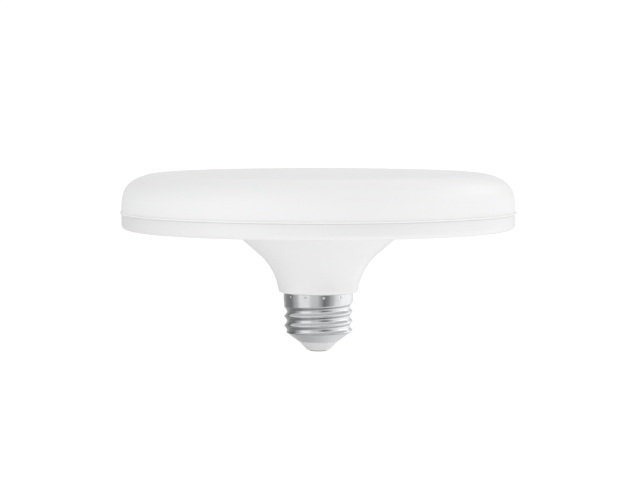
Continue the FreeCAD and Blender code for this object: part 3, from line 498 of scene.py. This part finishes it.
def block(low, high, degrees=0.0):
    """Points and faces of a box between two corners, turned about the vertical axis."""
    points = [spun((x, y, z), degrees) for z in (low[2], high[2]) for x, y in (
        (low[0], low[1]), (high[0], low[1]), (high[0], high[1]), (low[0], high[1]))]
    return points, [(3, 2, 1, 0), (4, 5, 6, 7),
                    (0, 1, 5, 4), (1, 2, 6, 5), (2, 3, 7, 6), (3, 0, 4, 7)]


def swept(corners, middle, width):
    """Points and faces of a section of (radius, height), swept a few degrees round the axis."""
    count = len(corners)
    last = SWEEP_STEPS * count
    points = []
    faces = [tuple(range(count)), tuple(reversed(range(last, last + count)))]
    for step in range(SWEEP_STEPS + 1):
        turn = middle + width * (step / SWEEP_STEPS - 0.5)
        points += [spun((radius, 0.0, level), turn) for radius, level in corners]
    for step in range(SWEEP_STEPS):
        for corner in range(count):
            here = step * count + corner
            beside = step * count + (corner + 1) % count
            faces.append((here, here + count, beside + count, beside))
    return points, faces


print("three places:", places(3))

# %% Pieces and Booleans
SHARP_ANGLE = 32.0


def piece_from(name, *forms):
    """One mesh object from several closed forms, with every face turned outwards."""
    points = []
    faces = []
    for form_points, form_faces in forms:
        start = len(points)
        points += form_points
        faces += [tuple(start + corner for corner in face) for face in form_faces]
    mesh = bpy.data.meshes.new(name)
    mesh.from_pydata(points, [], faces)
    made = bmesh.new()
    made.from_mesh(mesh)
    bmesh.ops.recalc_face_normals(made, faces=made.faces)
    made.to_mesh(mesh)
    made.free()
    piece = bpy.data.objects.new(name, mesh)
    scene.collection.objects.link(piece)
    return piece


def work(piece, operation, *forms):
    """Joins forms to a piece with UNION, or cuts them out of it with DIFFERENCE."""
    tool = piece_from("tool", *forms)
    change = piece.modifiers.new("work", "BOOLEAN")
    change.operation = operation
    change.object = tool
    reshaped = piece.evaluated_get(bpy.context.evaluated_depsgraph_get())
    piece.data = bpy.data.meshes.new_from_object(reshaped)
    piece.data.name = piece.name
    piece.modifiers.clear()
    bpy.data.objects.remove(tool)
    faces = len(piece.data.polygons)
    print(piece.name, operation.lower(), "with", len(forms), "forms:", faces, "faces")


def dress(piece, node, material, sharp=SHARP_ANGLE):
    """Puts a finish on a built piece, smooths it and sets it in the place of its solid."""
    piece.data.materials.clear()
    piece.data.materials.append(material)
    piece.data.shade_smooth()
    piece.data.set_sharp_from_angle(angle=math.radians(sharp))
    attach(piece, "root")
    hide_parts(node)
    size = [round(v / MM, 1) for v in piece.dimensions]
    print(piece.name, "for", node, "faces", len(piece.data.polygons), "size in mm", size)


print("piece helpers ready, sharp edges from", SHARP_ANGLE, "degrees")

# %% [markdown]
# ## Opal cover
#
# The cover is moulded in one shot: a side with a few degrees of draft so that it leaves the
# mould, a round shoulder, a softer curve over to the crown and a crown that is almost flat. At
# its foot a thin lip lies on the housing's rim, and a ring inside the rim holds it with six snap
# lugs. The curves that can be seen are cut into fine steps, and those inside into few. The names
# that end in DRAFT, TURN, CONE or ANGLE are angles in degrees.
#
# Seen unlit the cover is a dense milky white. A little light goes in and comes out again close
# by, which is what Subsurface does, and the skin is as smooth as satin.

# %% Measures of the disc
DISC_SEGMENTS = 240
cover_low, cover_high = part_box("diffuser_cover")
housing_low, housing_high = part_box("lamp_housing")
LIP_RADIUS = cover_high.x
LIP_HEIGHT, LIP_EDGE, LIP_STEPS = 0.6 * MM, 0.12 * MM, 2
CROWN_TOP = cover_high.z
RIM_RADIUS = housing_high.x
PARTING = housing_high.z
COVER_RADIUS = RIM_RADIUS + 0.2 * MM
COVER_WALL = 1.5 * MM
DRAFT = 5.2
SIDE_HEIGHT = 5.7 * MM
SHOULDER, SHOULDER_TURN, SHOULDER_STEPS, INNER_SHOULDER_STEPS = 9.0 * MM, 61.0, 14, 6
CROWN_EDGE, CROWN_EDGE_TURN, CROWN_EDGE_STEPS, INNER_EDGE_STEPS = 19.0 * MM, 88.6, 10, 4
CROWN_STEPS = 8
HOUSING_WALL = 1.8 * MM
SPIGOT_FIT = 0.15 * MM
SPIGOT_OUTER = RIM_RADIUS - HOUSING_WALL - SPIGOT_FIT
SPIGOT_INNER = SPIGOT_OUTER - COVER_WALL
SPIGOT_TOP = PARTING + 1.5 * MM
LUGS, LUG_ANGLE, CATCH_ANGLE = 6, 6.0, 6.3
LUG_TOP = PARTING - 1.0 * MM
LUG_HEIGHT, LUG_REACH, LUG_FIT = 1.2 * MM, 0.5 * MM, 0.15 * MM
print("disc", round(2 * LIP_RADIUS / MM, 2), "mm across, parting at", round(PARTING / MM, 2))

# %% Section of the cover


def cover_outline():
    """Section of the cover, from the lip over the crown and back down inside."""
    draft = math.radians(DRAFT)
    lip_top = PARTING + LIP_HEIGHT
    side = COVER_RADIUS - (SIDE_HEIGHT - LIP_HEIGHT) * math.tan(draft)
    shoulder = (side - SHOULDER * math.cos(draft),
                PARTING + SIDE_HEIGHT - SHOULDER * math.sin(draft))
    bend_r, bend_z = on_arc(*shoulder, SHOULDER, SHOULDER_TURN)
    turn = math.radians(SHOULDER_TURN)
    crown = (bend_r - CROWN_EDGE * math.cos(turn), bend_z - CROWN_EDGE * math.sin(turn))
    outline = [(SPIGOT_OUTER, PARTING)]
    outline += arc(LIP_RADIUS - LIP_EDGE, PARTING + LIP_EDGE, LIP_EDGE, -90, 0, LIP_STEPS)
    outline += arc(LIP_RADIUS - LIP_EDGE, lip_top - LIP_EDGE, LIP_EDGE, 0, 90, LIP_STEPS)
    outline += [(COVER_RADIUS, lip_top)]
    outline += arc(*shoulder, SHOULDER, DRAFT, SHOULDER_TURN, SHOULDER_STEPS)
    outline += arc(*crown, CROWN_EDGE, SHOULDER_TURN, CROWN_EDGE_TURN, CROWN_EDGE_STEPS)[1:]
    crown_r, crown_z = outline[-1]
    for step in range(1, CROWN_STEPS):
        rest = 1 - step / CROWN_STEPS
        outline.append((crown_r * rest, CROWN_TOP - (CROWN_TOP - crown_z) * rest ** 2))
    outline += [(0.0, CROWN_TOP), (0.0, CROWN_TOP - COVER_WALL)]
    inner_edge, inner_shoulder = CROWN_EDGE - COVER_WALL, SHOULDER - COVER_WALL
    outline += arc(*crown, inner_edge, CROWN_EDGE_TURN, SHOULDER_TURN, INNER_EDGE_STEPS)
    outline += arc(*shoulder, inner_shoulder, SHOULDER_TURN, DRAFT, INNER_SHOULDER_STEPS)[1:]
    inner_r, inner_z = outline[-1]
    outline += [(inner_r + (inner_z - SPIGOT_TOP) * math.tan(draft), SPIGOT_TOP)]
    outline += [(SPIGOT_INNER, SPIGOT_TOP), (SPIGOT_INNER, cover_low.z)]
    outline += [(SPIGOT_OUTER, cover_low.z)]
    return outline


def lug_corners(growth):
    """Section of a snap lug, or of its catch in the housing when grown by a clearance."""
    root = SPIGOT_OUTER - SPIGOT_FIT
    reach = SPIGOT_OUTER + LUG_REACH + growth
    return [(root, LUG_TOP - LUG_HEIGHT - growth), (reach, LUG_TOP - LUG_HEIGHT / 2 - growth),
            (reach, LUG_TOP + growth), (root, LUG_TOP + growth)]


print("points in the cover's section:", len(cover_outline()))

# %% Opal cover
opal = plastic("opal_plastic", (0.825, 0.827, 0.826), roughness=0.3, cloud=0.012, bump=0.05,
               shader_settings={"Subsurface Weight": 0.25, "Subsurface Scale": 1.5 * MM,
                                "Subsurface Radius": (1.0, 0.95, 0.85)})
cover = piece_from("opal_cover", turned(cover_outline(), DISC_SEGMENTS))
work(cover, "UNION", *[swept(lug_corners(0.0), place, LUG_ANGLE) for place in places(LUGS)])
dress(cover, "diffuser_cover", opal)

# %% [markdown]
# ## Housing
#
# One white moulding carries everything: the rim band, the flat underside, the flared neck, the
# collar and, hidden in the metal cap, a tail that the cap is crimped to. The neck is the form
# that people notice. It leaves the collar at a slight draft, bends outwards in a concave curve
# and runs as a cone into the underside. Drawn as tangent arcs and lines, it has no kink in its
# highlights. Its plastic is glossier than the cover's, so it gets a thin clear coat.

# %% Measures of the housing
COLLAR_RADIUS, COLLAR_ROUND, COLLAR_HEIGHT = 15.0 * MM, 1.0 * MM, 2.5 * MM
COLLAR_DRAFT, COLLAR_STEPS = 12.0, 8
NECK_CURVE, NECK_CONE, NECK_STEPS, INNER_NECK_STEPS = 22.0 * MM, 49.0, 24, 8
NECK_FILLET, FILLET_STEPS = 3.0 * MM, 8
RIM_DEPTH = 5.95 * MM
RIM_CORNER, CORNER_STEPS = 2.0 * MM, 12
RIM_EDGE, EDGE_STEPS = 0.3 * MM, 3
UNDERSIDE = PARTING - RIM_DEPTH
HOUSING_FLOOR = UNDERSIDE + HOUSING_WALL
TAIL_UPPER, TAIL_LOWER, TAIL_BORE, TAIL_STEP = 12.82 * MM, 11.6 * MM, 10.3 * MM, -2.36 * MM

collar_lean = math.radians(COLLAR_DRAFT)
cone_lean = math.radians(NECK_CONE)
collar_top = COLLAR_RADIUS + COLLAR_HEIGHT * math.tan(collar_lean)
neck_curve = (collar_top + NECK_CURVE * math.cos(collar_lean),
              COLLAR_HEIGHT - NECK_CURVE * math.sin(collar_lean))
cone_r, cone_z = on_arc(*neck_curve, NECK_CURVE, 180 - NECK_CONE)
neck_top = cone_r + (UNDERSIDE - cone_z) * math.tan(cone_lean)
print("neck runs into the underside at radius", round(neck_top / MM, 2), "mm")

# %% Housing


def housing_outline():
    """Section of the housing, from the tail up the outside and back down inside."""
    round_r = COLLAR_RADIUS - COLLAR_ROUND * math.tan((math.pi / 2 - collar_lean) / 2)
    fillet = (neck_top + NECK_FILLET * math.tan((math.pi / 2 - cone_lean) / 2),
              UNDERSIDE - NECK_FILLET)
    corner = (RIM_RADIUS - RIM_CORNER, UNDERSIDE + RIM_CORNER)
    edge = (RIM_RADIUS - RIM_EDGE, PARTING - RIM_EDGE)
    outline = [(TAIL_BORE, housing_low.z), (TAIL_LOWER, housing_low.z), (TAIL_LOWER, TAIL_STEP)]
    outline += [(TAIL_UPPER, TAIL_STEP), (TAIL_UPPER, 0.0)]
    outline += arc(round_r, COLLAR_ROUND, COLLAR_ROUND, -90, -COLLAR_DRAFT, COLLAR_STEPS)
    outline += arc(*neck_curve, NECK_CURVE, 180 - COLLAR_DRAFT, 180 - NECK_CONE, NECK_STEPS)
    outline += arc(*fillet, NECK_FILLET, 180 - NECK_CONE, 90, FILLET_STEPS)
    outline += arc(*corner, RIM_CORNER, -90, 0, CORNER_STEPS)
    outline += arc(*edge, RIM_EDGE, 0, 90, EDGE_STEPS)
    outline += [(RIM_RADIUS - HOUSING_WALL, PARTING), (RIM_RADIUS - HOUSING_WALL, HOUSING_FLOOR)]
    inner = NECK_CURVE + HOUSING_WALL
    inner_r, inner_z = on_arc(*neck_curve, inner, 180 - NECK_CONE)
    outline += [(inner_r + (HOUSING_FLOOR - inner_z) * math.tan(cone_lean), HOUSING_FLOOR)]
    outline += arc(*neck_curve, inner, 180 - NECK_CONE, 180 - COLLAR_DRAFT, INNER_NECK_STEPS)
    inner_r, inner_z = outline[-1]
    outline += [(inner_r - (inner_z - HOUSING_WALL) * math.tan(collar_lean), HOUSING_WALL)]
    outline += [(TAIL_BORE, HOUSING_WALL)]
    return outline


white = plastic("white_plastic", (0.785, 0.787, 0.787), roughness=0.22, cloud=0.015, bump=0.06,
                shader_settings={"IOR": 1.58, "Coat Weight": 0.45, "Coat Roughness": 0.14})
housing = piece_from("flared_housing", turned(housing_outline(), DISC_SEGMENTS))
print("housing before its ribs:", len(housing.data.polygons), "faces")

# %% [markdown]
# ## Inside of the housing
#
# Inside, twelve ribs and three bosses carry the heat spreader, and the bosses have pilot holes
# for its screws. Two slots in the tail hold the driver card upright, a notch lets a lead out to
# the metal cap, and six catches in the rim take the cover's lugs. Nobody sees them in a lamp that
# is whole, but a model that may be opened needs them.

# %% Measures inside the housing
RIBS, RIB_THICKNESS, RIB_OFFSET, RIB_MARGIN = 12, 1.5 * MM, 8.7 * MM, 2.0 * MM
BOSSES, BOSS_RADIUS, BOSS_MARGIN, BOSS_SEGMENTS = 3, 3.0 * MM, 1.7 * MM, 32
PILOT_RADIUS, PILOT_FLOOR = 1.25 * MM, 0.8 * MM
SCREW_TURN = 7.5
SLOT_DEPTH, SLOT_FIT = 0.6 * MM, 0.1 * MM
NOTCH_HALF, NOTCH_LENGTH = 0.5 * MM, 6.5 * MM
OVERCUT = 0.2 * MM

spreader_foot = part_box("heat_spreader")[0].z
card_low, card_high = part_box("driver_board")
mouth = neck_top - HOUSING_WALL * math.tan((math.pi / 2 - cone_lean) / 2)
rib_foot = HOUSING_FLOOR - HOUSING_WALL / 2
screw_ring = mouth + BOSS_RADIUS + BOSS_MARGIN
boss_places = places(BOSSES, SCREW_TURN)
slot_reach = TAIL_BORE + SLOT_DEPTH
print("screws on a ring of radius", round(screw_ring / MM, 2), "mm")

# %% Ribs, bosses, slots and catches


def post(radius, low, high, place):
    """A round post or hole on the ring of the screws."""
    x, y, _ = spun((screw_ring, 0.0, 0.0), place)
    outline = [(0.0, low), (radius, low), (radius, high), (0.0, high)]
    return turned(outline, BOSS_SEGMENTS, (x, y))


rib_low = (mouth + RIB_OFFSET, -RIB_THICKNESS / 2, rib_foot)
rib_high = (RIM_RADIUS - HOUSING_WALL - RIB_MARGIN, RIB_THICKNESS / 2, spreader_foot)
ribs = [block(rib_low, rib_high, place) for place in places(RIBS)]
bosses = [post(BOSS_RADIUS, rib_foot, spreader_foot, place) for place in boss_places]
work(housing, "UNION", *ribs, *bosses)

pilots = [post(PILOT_RADIUS, UNDERSIDE + PILOT_FLOOR, spreader_foot + OVERCUT, place)
          for place in boss_places]
catches = [swept(lug_corners(LUG_FIT), place, CATCH_ANGLE) for place in places(LUGS)]
slots = block((-slot_reach, card_low.y - SLOT_FIT, card_low.z),
              (slot_reach, card_high.y + SLOT_FIT, HOUSING_WALL))
notch = block((-NOTCH_HALF, TAIL_BORE / 2, housing_low.z - OVERCUT),
              (NOTCH_HALF, TAIL_LOWER + OVERCUT, housing_low.z + NOTCH_LENGTH))
work(housing, "DIFFERENCE", *pilots, *catches)
work(housing, "DIFFERENCE", slots)
work(housing, "DIFFERENCE", notch)
dress(housing, "lamp_housing", white)

# %% [markdown]
# ## Screw cap
#
# The cap is thin sheet that was drawn to a cup and rolled between two wheels, which gives the
# thread its soft, wave-like section. Twelve dents round the plain band hold it on the plastic. A
# helix modifier would leave ugly ends, so the wall is one sheet of points over angle and height,
# and a formula gives the radius at each point: the cap's own radius, less the wave of the thread,
# which fades in and out at its ends, and less the dents.

# %% Measures of the cap
# The band narrows over the height BAND_BLEND, of which the share BLEND_ABOVE lies above its end.
# The groove starts THREAD_LEAD pitches below the band and fades out over FADE_TURNS of a turn.
# A CREST_SHARPNESS below 1 makes the grooves wide and the crests narrow.
shell_low, shell_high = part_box("screw_shell")
SHEET = 0.3 * MM
BAND_RADIUS = shell_high.x
BAND_END, BAND_BLEND, BLEND_ABOVE = -2.86 * MM, 2.4 * MM, 0.2
EDGE_HEIGHT, EDGE_IN = 0.4 * MM, 0.2 * MM
CREST_RADIUS = 13.1 * MM
THREAD_DEPTH, THREAD_PITCH, THREAD_TURNS = 1.05 * MM, 3.629 * MM, 2.5
THREAD_LEAD, FADE_TURNS = 0.75, 0.32
THREAD_FIRST = BAND_END - THREAD_LEAD * THREAD_PITCH
CREST_SHARPNESS = 0.62
CONE_TOP = -14.78 * MM
CONE_END = shell_low.z
CONE_RADIUS = 7.9 * MM
CONE_SLOPE = (CREST_RADIUS - CONE_RADIUS) / (CONE_TOP - CONE_END)
CONE_SECANT = math.hypot(1.0, CONE_SLOPE)
DENTS, DENT_START = 12, math.radians(-81.5)
DENT_LEVEL, DENT_SIZE, DENT_DEPTH = -1.2 * MM, 0.52 * MM, 0.28 * MM
DENT_REACH, DENT_FALL = 1.6, 2.2
print("cap", round(2 * CREST_RADIUS / MM, 2), "mm over the crests")

# %% Form of the sheet


def barrel_radius(level):
    """Radius of the cap before it is rolled: its upper edge, its band and the thread's stretch."""
    if level > -EDGE_HEIGHT:
        share = min(1.0, 1 + level / EDGE_HEIGHT)
        return BAND_RADIUS - EDGE_IN * (1 - math.sqrt(1 - share ** 2))
    share = min(1.0, max(0.0, (BAND_END - level) / BAND_BLEND + BLEND_ABOVE))
    return BAND_RADIUS - (BAND_RADIUS - CREST_RADIUS) * share ** 2 * (3 - 2 * share)


def thread_cut(angle, level):
    """Depth of the rolled thread, with the angle measured clockwise from the right."""
    turns_down = (THREAD_FIRST - level) / THREAD_PITCH
    nearest = round(turns_down - angle / (2 * math.pi))
    deepest = 0.0
    for groove in (nearest - 1, nearest, nearest + 1):
        along = groove + angle / (2 * math.pi)
        beyond = max(-along, along - THREAD_TURNS, 0.0)
        fade = max(0.0, 1 - beyond / FADE_TURNS)
        offset = min(0.5, abs(turns_down - along))
        wave = (0.5 + 0.5 * math.cos(2 * math.pi * offset)) ** CREST_SHARPNESS
        deepest = max(deepest, fade * THREAD_DEPTH * wave)
    return deepest


def dent_cut(angle, level):
    """Depth of the nearest crimp dent at a place on the band."""
    step = 2 * math.pi / DENTS
    away = (angle - DENT_START + step / 2) % step - step / 2
    reach = math.hypot(away * BAND_RADIUS, level - DENT_LEVEL) / DENT_SIZE
    return DENT_DEPTH * math.exp(-DENT_FALL * reach ** 2) if reach < DENT_REACH else 0.0


def wall_radius(angle, level):
    """Radius of the cap's outer skin, with the angle measured anticlockwise from the right."""
    rolled = barrel_radius(level) - thread_cut(2 * math.pi - angle, level)
    cone = CREST_RADIUS - CONE_SLOPE * (CONE_TOP - level)
    return min(rolled, cone) - dent_cut(angle, level)


front_groove = thread_cut(math.pi / 2, THREAD_FIRST - THREAD_PITCH / 4)
print("depth of a groove in front:", round(front_groove / MM, 3), "mm")

# %% Rolled sheet
CAP_SEGMENTS = 360
FINE_END = -2.4 * MM
FINE_STEP, OUTER_STEP, INNER_STEP = 0.1 * MM, 0.13 * MM, 0.32 * MM


def levels(first, last, step):
    """Heights from the first to the last, in even steps that are close to the given one."""
    count = max(1, round(abs(last - first) / step))
    return [first + (last - first) * number / count for number in range(count + 1)]


def rolled_sheet():
    """Points and faces of the cap: its outer skin from the top down, its inner skin back up."""
    outer = levels(shell_high.z, FINE_END, FINE_STEP) + levels(FINE_END, CONE_END, OUTER_STEP)[1:]
    inner = levels(CONE_END, shell_high.z, INNER_STEP)
    points = []
    rings = []
    for level, skin in [(level, 0.0) for level in outer] + [(level, SHEET) for level in inner]:
        depth = skin * (CONE_SECANT if level < CONE_TOP else 1.0)
        rings.append(list(range(len(points), len(points) + CAP_SEGMENTS)))
        for turn in range(CAP_SEGMENTS):
            angle = 2 * math.pi * turn / CAP_SEGMENTS
            radius = wall_radius(angle, level) - depth
            points.append((radius * math.cos(angle), radius * math.sin(angle), level))
    return points, ring_faces(rings)


cap = piece_from("rolled_cap", rolled_sheet())
print("rolled cap:", len(cap.data.polygons), "faces")

# %% [markdown]
# ## Finish of the cap
#
# The cap is plated with nickel. Its thread gets painted shade: the colour of the slopes between
# the crests and the roots is darkened, standing in for the dark studio that they mirror, while
# the crests and the roots keep the full colour. Pointiness is the usual way to find crests, but
# here the distance from the axis says exactly where on the wave a point lies, so two ramps of
# that distance make the mask.

# %% Screw cap
CAP_SHARP_ANGLE = 60.0
# Depths below the crest between which the thread's slopes get painted shade, and how much it
# darkens them.
CREST_UNSHADED, SLOPE_FIRST = 0.1 * MM, 0.4 * MM
SLOPE_LAST, ROOT_UNSHADED = 0.72 * MM, 0.98 * MM
SLOPE_SHADE = 0.34


def paint_slope_shade(material):
    """Paints shade on the slopes of the thread, between the crests and the roots, by darkening
    them.
    """
    tree = material.node_tree
    shader = tree.nodes["Principled BSDF"]
    flat = tree.nodes.new("ShaderNodeVectorMath")
    flat.operation = "MULTIPLY"
    feed(tree, tree.nodes.new("ShaderNodeTexCoord").outputs["Object"], flat.inputs[0])
    flat.inputs[1].default_value = (1.0, 1.0, 0.0)
    distance = tree.nodes.new("ShaderNodeVectorMath")
    distance.operation = "LENGTH"
    feed(tree, flat.outputs[0], distance.inputs[0])
    radius = distance.outputs["Value"]
    inwards = ramp_up(tree, radius, CREST_RADIUS - CREST_UNSHADED, CREST_RADIUS - SLOPE_FIRST)
    outwards = ramp_up(tree, radius, CREST_RADIUS - ROOT_UNSHADED, CREST_RADIUS - SLOPE_LAST)
    slope = math_node(tree, "MULTIPLY", inwards, outwards)
    # Painted shade: the slopes' colour is darkened to stand in for the dark studio that they
    # mirror.
    kept = math_node(tree, "MULTIPLY_ADD", slope, -SLOPE_SHADE, 1.0)
    unshaded_colour = shader.inputs["Base Color"].links[0].from_socket
    feed(tree, scaled(tree, unshaded_colour, kept), shader.inputs["Base Color"])
    return material


# The nickel cap carries painted shade on the slopes of its thread.
nickel = paint_slope_shade(metal("shell_nickel", (0.8, 0.81, 0.82), (0.6, 0.6, 0.6), stain=0.2,
                           roughness=0.13, streak=0.08, bump=0.08))
dress(cap, "screw_shell", nickel, CAP_SHARP_ANGLE)

# %% [markdown]
# ## Insulator and centre contact
#
# A plug of pale plastic closes the cone and keeps the centre contact away from the shell. The
# contact is a flat rivet whose tinned head presses on the spring in the lampholder. Both are
# small turned forms. The plug's foot is well rounded, as moulded pieces are, and the rivet's rim
# is broken a little, because an edge that is perfectly sharp catches no light.

# %% Sections of insulator and contact
plug_low, plug_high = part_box("cap_insulator")
contact_low, contact_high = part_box("centre_contact")
SEAT_FIT = 0.05 * MM
PLUG_SEAT = CONE_RADIUS - (SHEET + SEAT_FIT) * CONE_SECANT
PLUG_STEP = PLUG_SEAT + 0.35 * MM
PLUG_FOOT, PLUG_ROUND, PLUG_STEPS = 4.3 * MM, 1.3 * MM, 8
PLUG_EDGE = 0.12 * MM
STEM, STEM_FIT = 1.5 * MM, 0.05 * MM
CONTACT_RADIUS = contact_high.x
CONTACT_RIM, CONTACT_FLAT, CONTACT_EDGE = 0.3 * MM, 1.0 * MM, 0.05 * MM
LEAD_BORE = 0.45 * MM


def plug_outline():
    """Section of the insulator, from its hole round the outside."""
    step_z = CONE_END - SEAT_FIT
    lean = math.atan2(PLUG_STEP - PLUG_FOOT, step_z - plug_low.z)
    tangent = PLUG_ROUND * math.tan((math.pi / 2 - lean) / 2)
    foot_round = (PLUG_FOOT - tangent, plug_low.z + PLUG_ROUND)
    inner = PLUG_SEAT + (plug_high.z - CONE_END) * CONE_SLOPE
    outline = [(STEM + STEM_FIT, plug_low.z)]
    outline += arc(*foot_round, PLUG_ROUND, -90, -math.degrees(lean), PLUG_STEPS)
    outline += [(PLUG_STEP - PLUG_EDGE, step_z - PLUG_EDGE), (PLUG_STEP, step_z)]
    outline += [(PLUG_SEAT, step_z), (PLUG_SEAT, CONE_END)]
    outline += [(inner, plug_high.z), (STEM + STEM_FIT, plug_high.z)]
    return outline


def contact_outline():
    """Section of the rivet, from the middle of its head to the top of its stem."""
    rim = plug_low.z - CONTACT_RIM
    outline = [(0.0, contact_low.z), (CONTACT_FLAT, contact_low.z)]
    outline += [(CONTACT_RADIUS - CONTACT_EDGE, rim), (CONTACT_RADIUS, rim + CONTACT_EDGE)]
    outline += [(CONTACT_RADIUS, plug_low.z), (STEM, plug_low.z), (STEM, contact_high.z)]
    outline += [(LEAD_BORE, contact_high.z), (LEAD_BORE, plug_low.z), (0.0, plug_low.z)]
    return outline


print("contact", round(2 * CONTACT_RADIUS / MM, 2), "mm across")

# %% Insulator and contact
PLUG_SEGMENTS, CONTACT_SEGMENTS = 128, 96

plug_finish = plastic("insulator_plastic", (0.64, 0.64, 0.64), roughness=0.2, cloud=0.04,
                      shader_settings={"IOR": 1.7, "Coat Weight": 1.0, "Coat Roughness": 0.12})
plug = piece_from("insulator_plug", turned(plug_outline(), PLUG_SEGMENTS))
dress(plug, "cap_insulator", plug_finish)
tin = metal("contact_tin", (0.2, 0.195, 0.185), (0.16, 0.15, 0.14), stain=0.5, roughness=0.4)
contact = piece_from("contact_rivet", turned(contact_outline(), CONTACT_SEGMENTS))
dress(contact, "centre_contact", tin)

# %% [markdown]
# ## Inside the lamp
#
# The board, the driver and the leads can't be seen through the opal cover, but the model can be
# opened. Their solids are already right, so each one keeps its mesh and only gets its finish,
# chosen by the name of its slot.
#
# Two of them have ends that differ from their sides. An LED package is a white cup with yellow
# phosphor on top, and a capacitor is an aluminium can that stands out of a shrunk plastic sleeve.
# A small group finds the faces that look up or down from the normal, and both finishes use it as
# a mask.

# %% Group: faces that look up or down
END_FROM, END_TO = 0.9, 0.95

level_faces, given, result = new_group("level_faces", [], [("Mask", NUMBER)])
facing = level_faces.nodes.new("ShaderNodeSeparateXYZ")
feed(level_faces, level_faces.nodes.new("ShaderNodeTexCoord").outputs["Normal"], facing.inputs[0])
tilt = math_node(level_faces, "ABSOLUTE", facing.outputs["Z"])
feed(level_faces, ramp_up(level_faces, tilt, END_FROM, END_TO), result["Mask"])


def with_ends(material, end_colour, metallic):
    """Gives the upper and lower faces of a finish another colour, as metal or not."""
    tree = material.node_tree
    shader = tree.nodes["Principled BSDF"]
    ends = tree.nodes.new("ShaderNodeGroup")
    ends.node_tree = level_faces
    mask = ends.outputs["Mask"]
    sides = shader.inputs["Base Color"].links[0].from_socket
    feed(tree, colour_mix(tree, mask, sides, (*end_colour, 1.0)), shader.inputs["Base Color"])
    if metallic:
        feed(tree, mask, shader.inputs["Metallic"])
    return material


print("group:", level_faces.name, "nodes", len(level_faces.nodes))

# %% Finishes of the hidden pieces
PHOSPHOR = (0.86, 0.68, 0.16)
BARE_ALUMINIUM = (0.75, 0.76, 0.77)

HIDDEN = {
    "spreader_aluminium": metal("spreader_aluminium", (0.78, 0.79, 0.8), (0.6, 0.6, 0.6),
                                roughness=0.35, marks=500.0),
    "board_aluminium": plastic("board_aluminium", (0.86, 0.86, 0.84), roughness=0.4),
    "led_white": with_ends(plastic("led_white", (0.85, 0.85, 0.83), roughness=0.3),
                           PHOSPHOR, metallic=False),
    "screw_steel": metal("screw_steel", (0.68, 0.68, 0.68), (0.45, 0.44, 0.42), roughness=0.3),
    "terminal_white": plastic("terminal_white", (0.82, 0.82, 0.8), roughness=0.45),
    "card_green": plastic("card_green", (0.03, 0.16, 0.06), roughness=0.35),
    "ferrite": plastic("ferrite", (0.03, 0.03, 0.032), roughness=0.6, bump=0.3),
    "bobbin_black": plastic("bobbin_black", (0.02, 0.02, 0.02), roughness=0.45),
    "winding_copper": metal("winding_copper", (0.72, 0.32, 0.14), (0.4, 0.15, 0.06),
                            roughness=0.3, marks=3000.0),
    "capacitor_sleeve": with_ends(plastic("capacitor_sleeve", (0.03, 0.05, 0.1), roughness=0.3),
                                  BARE_ALUMINIUM, metallic=True),
    "component_black": plastic("component_black", (0.015, 0.015, 0.015), roughness=0.5),
    "fuse_sleeve": plastic("fuse_sleeve", (0.55, 0.5, 0.38), roughness=0.5),
    "varistor_blue": plastic("varistor_blue", (0.02, 0.08, 0.28), roughness=0.3),
    "film_yellow": plastic("film_yellow", (0.65, 0.38, 0.03), roughness=0.35),
    "lead_red": plastic("lead_red", (0.45, 0.015, 0.012), roughness=0.45),
    "lead_black": plastic("lead_black", (0.015, 0.015, 0.015), roughness=0.45),
    "lead_white": plastic("lead_white", (0.8, 0.8, 0.77), roughness=0.45),
}
finished = 0
for part in frame["record"]["subparts"]:
    if part["material_slot"] in HIDDEN:
        solid = frame["nodes"][part["node"]]
        solid.data.materials.clear()
        solid.data.materials.append(HIDDEN[part["material_slot"]])
        finished += 1
print("hidden pieces finished:", finished)
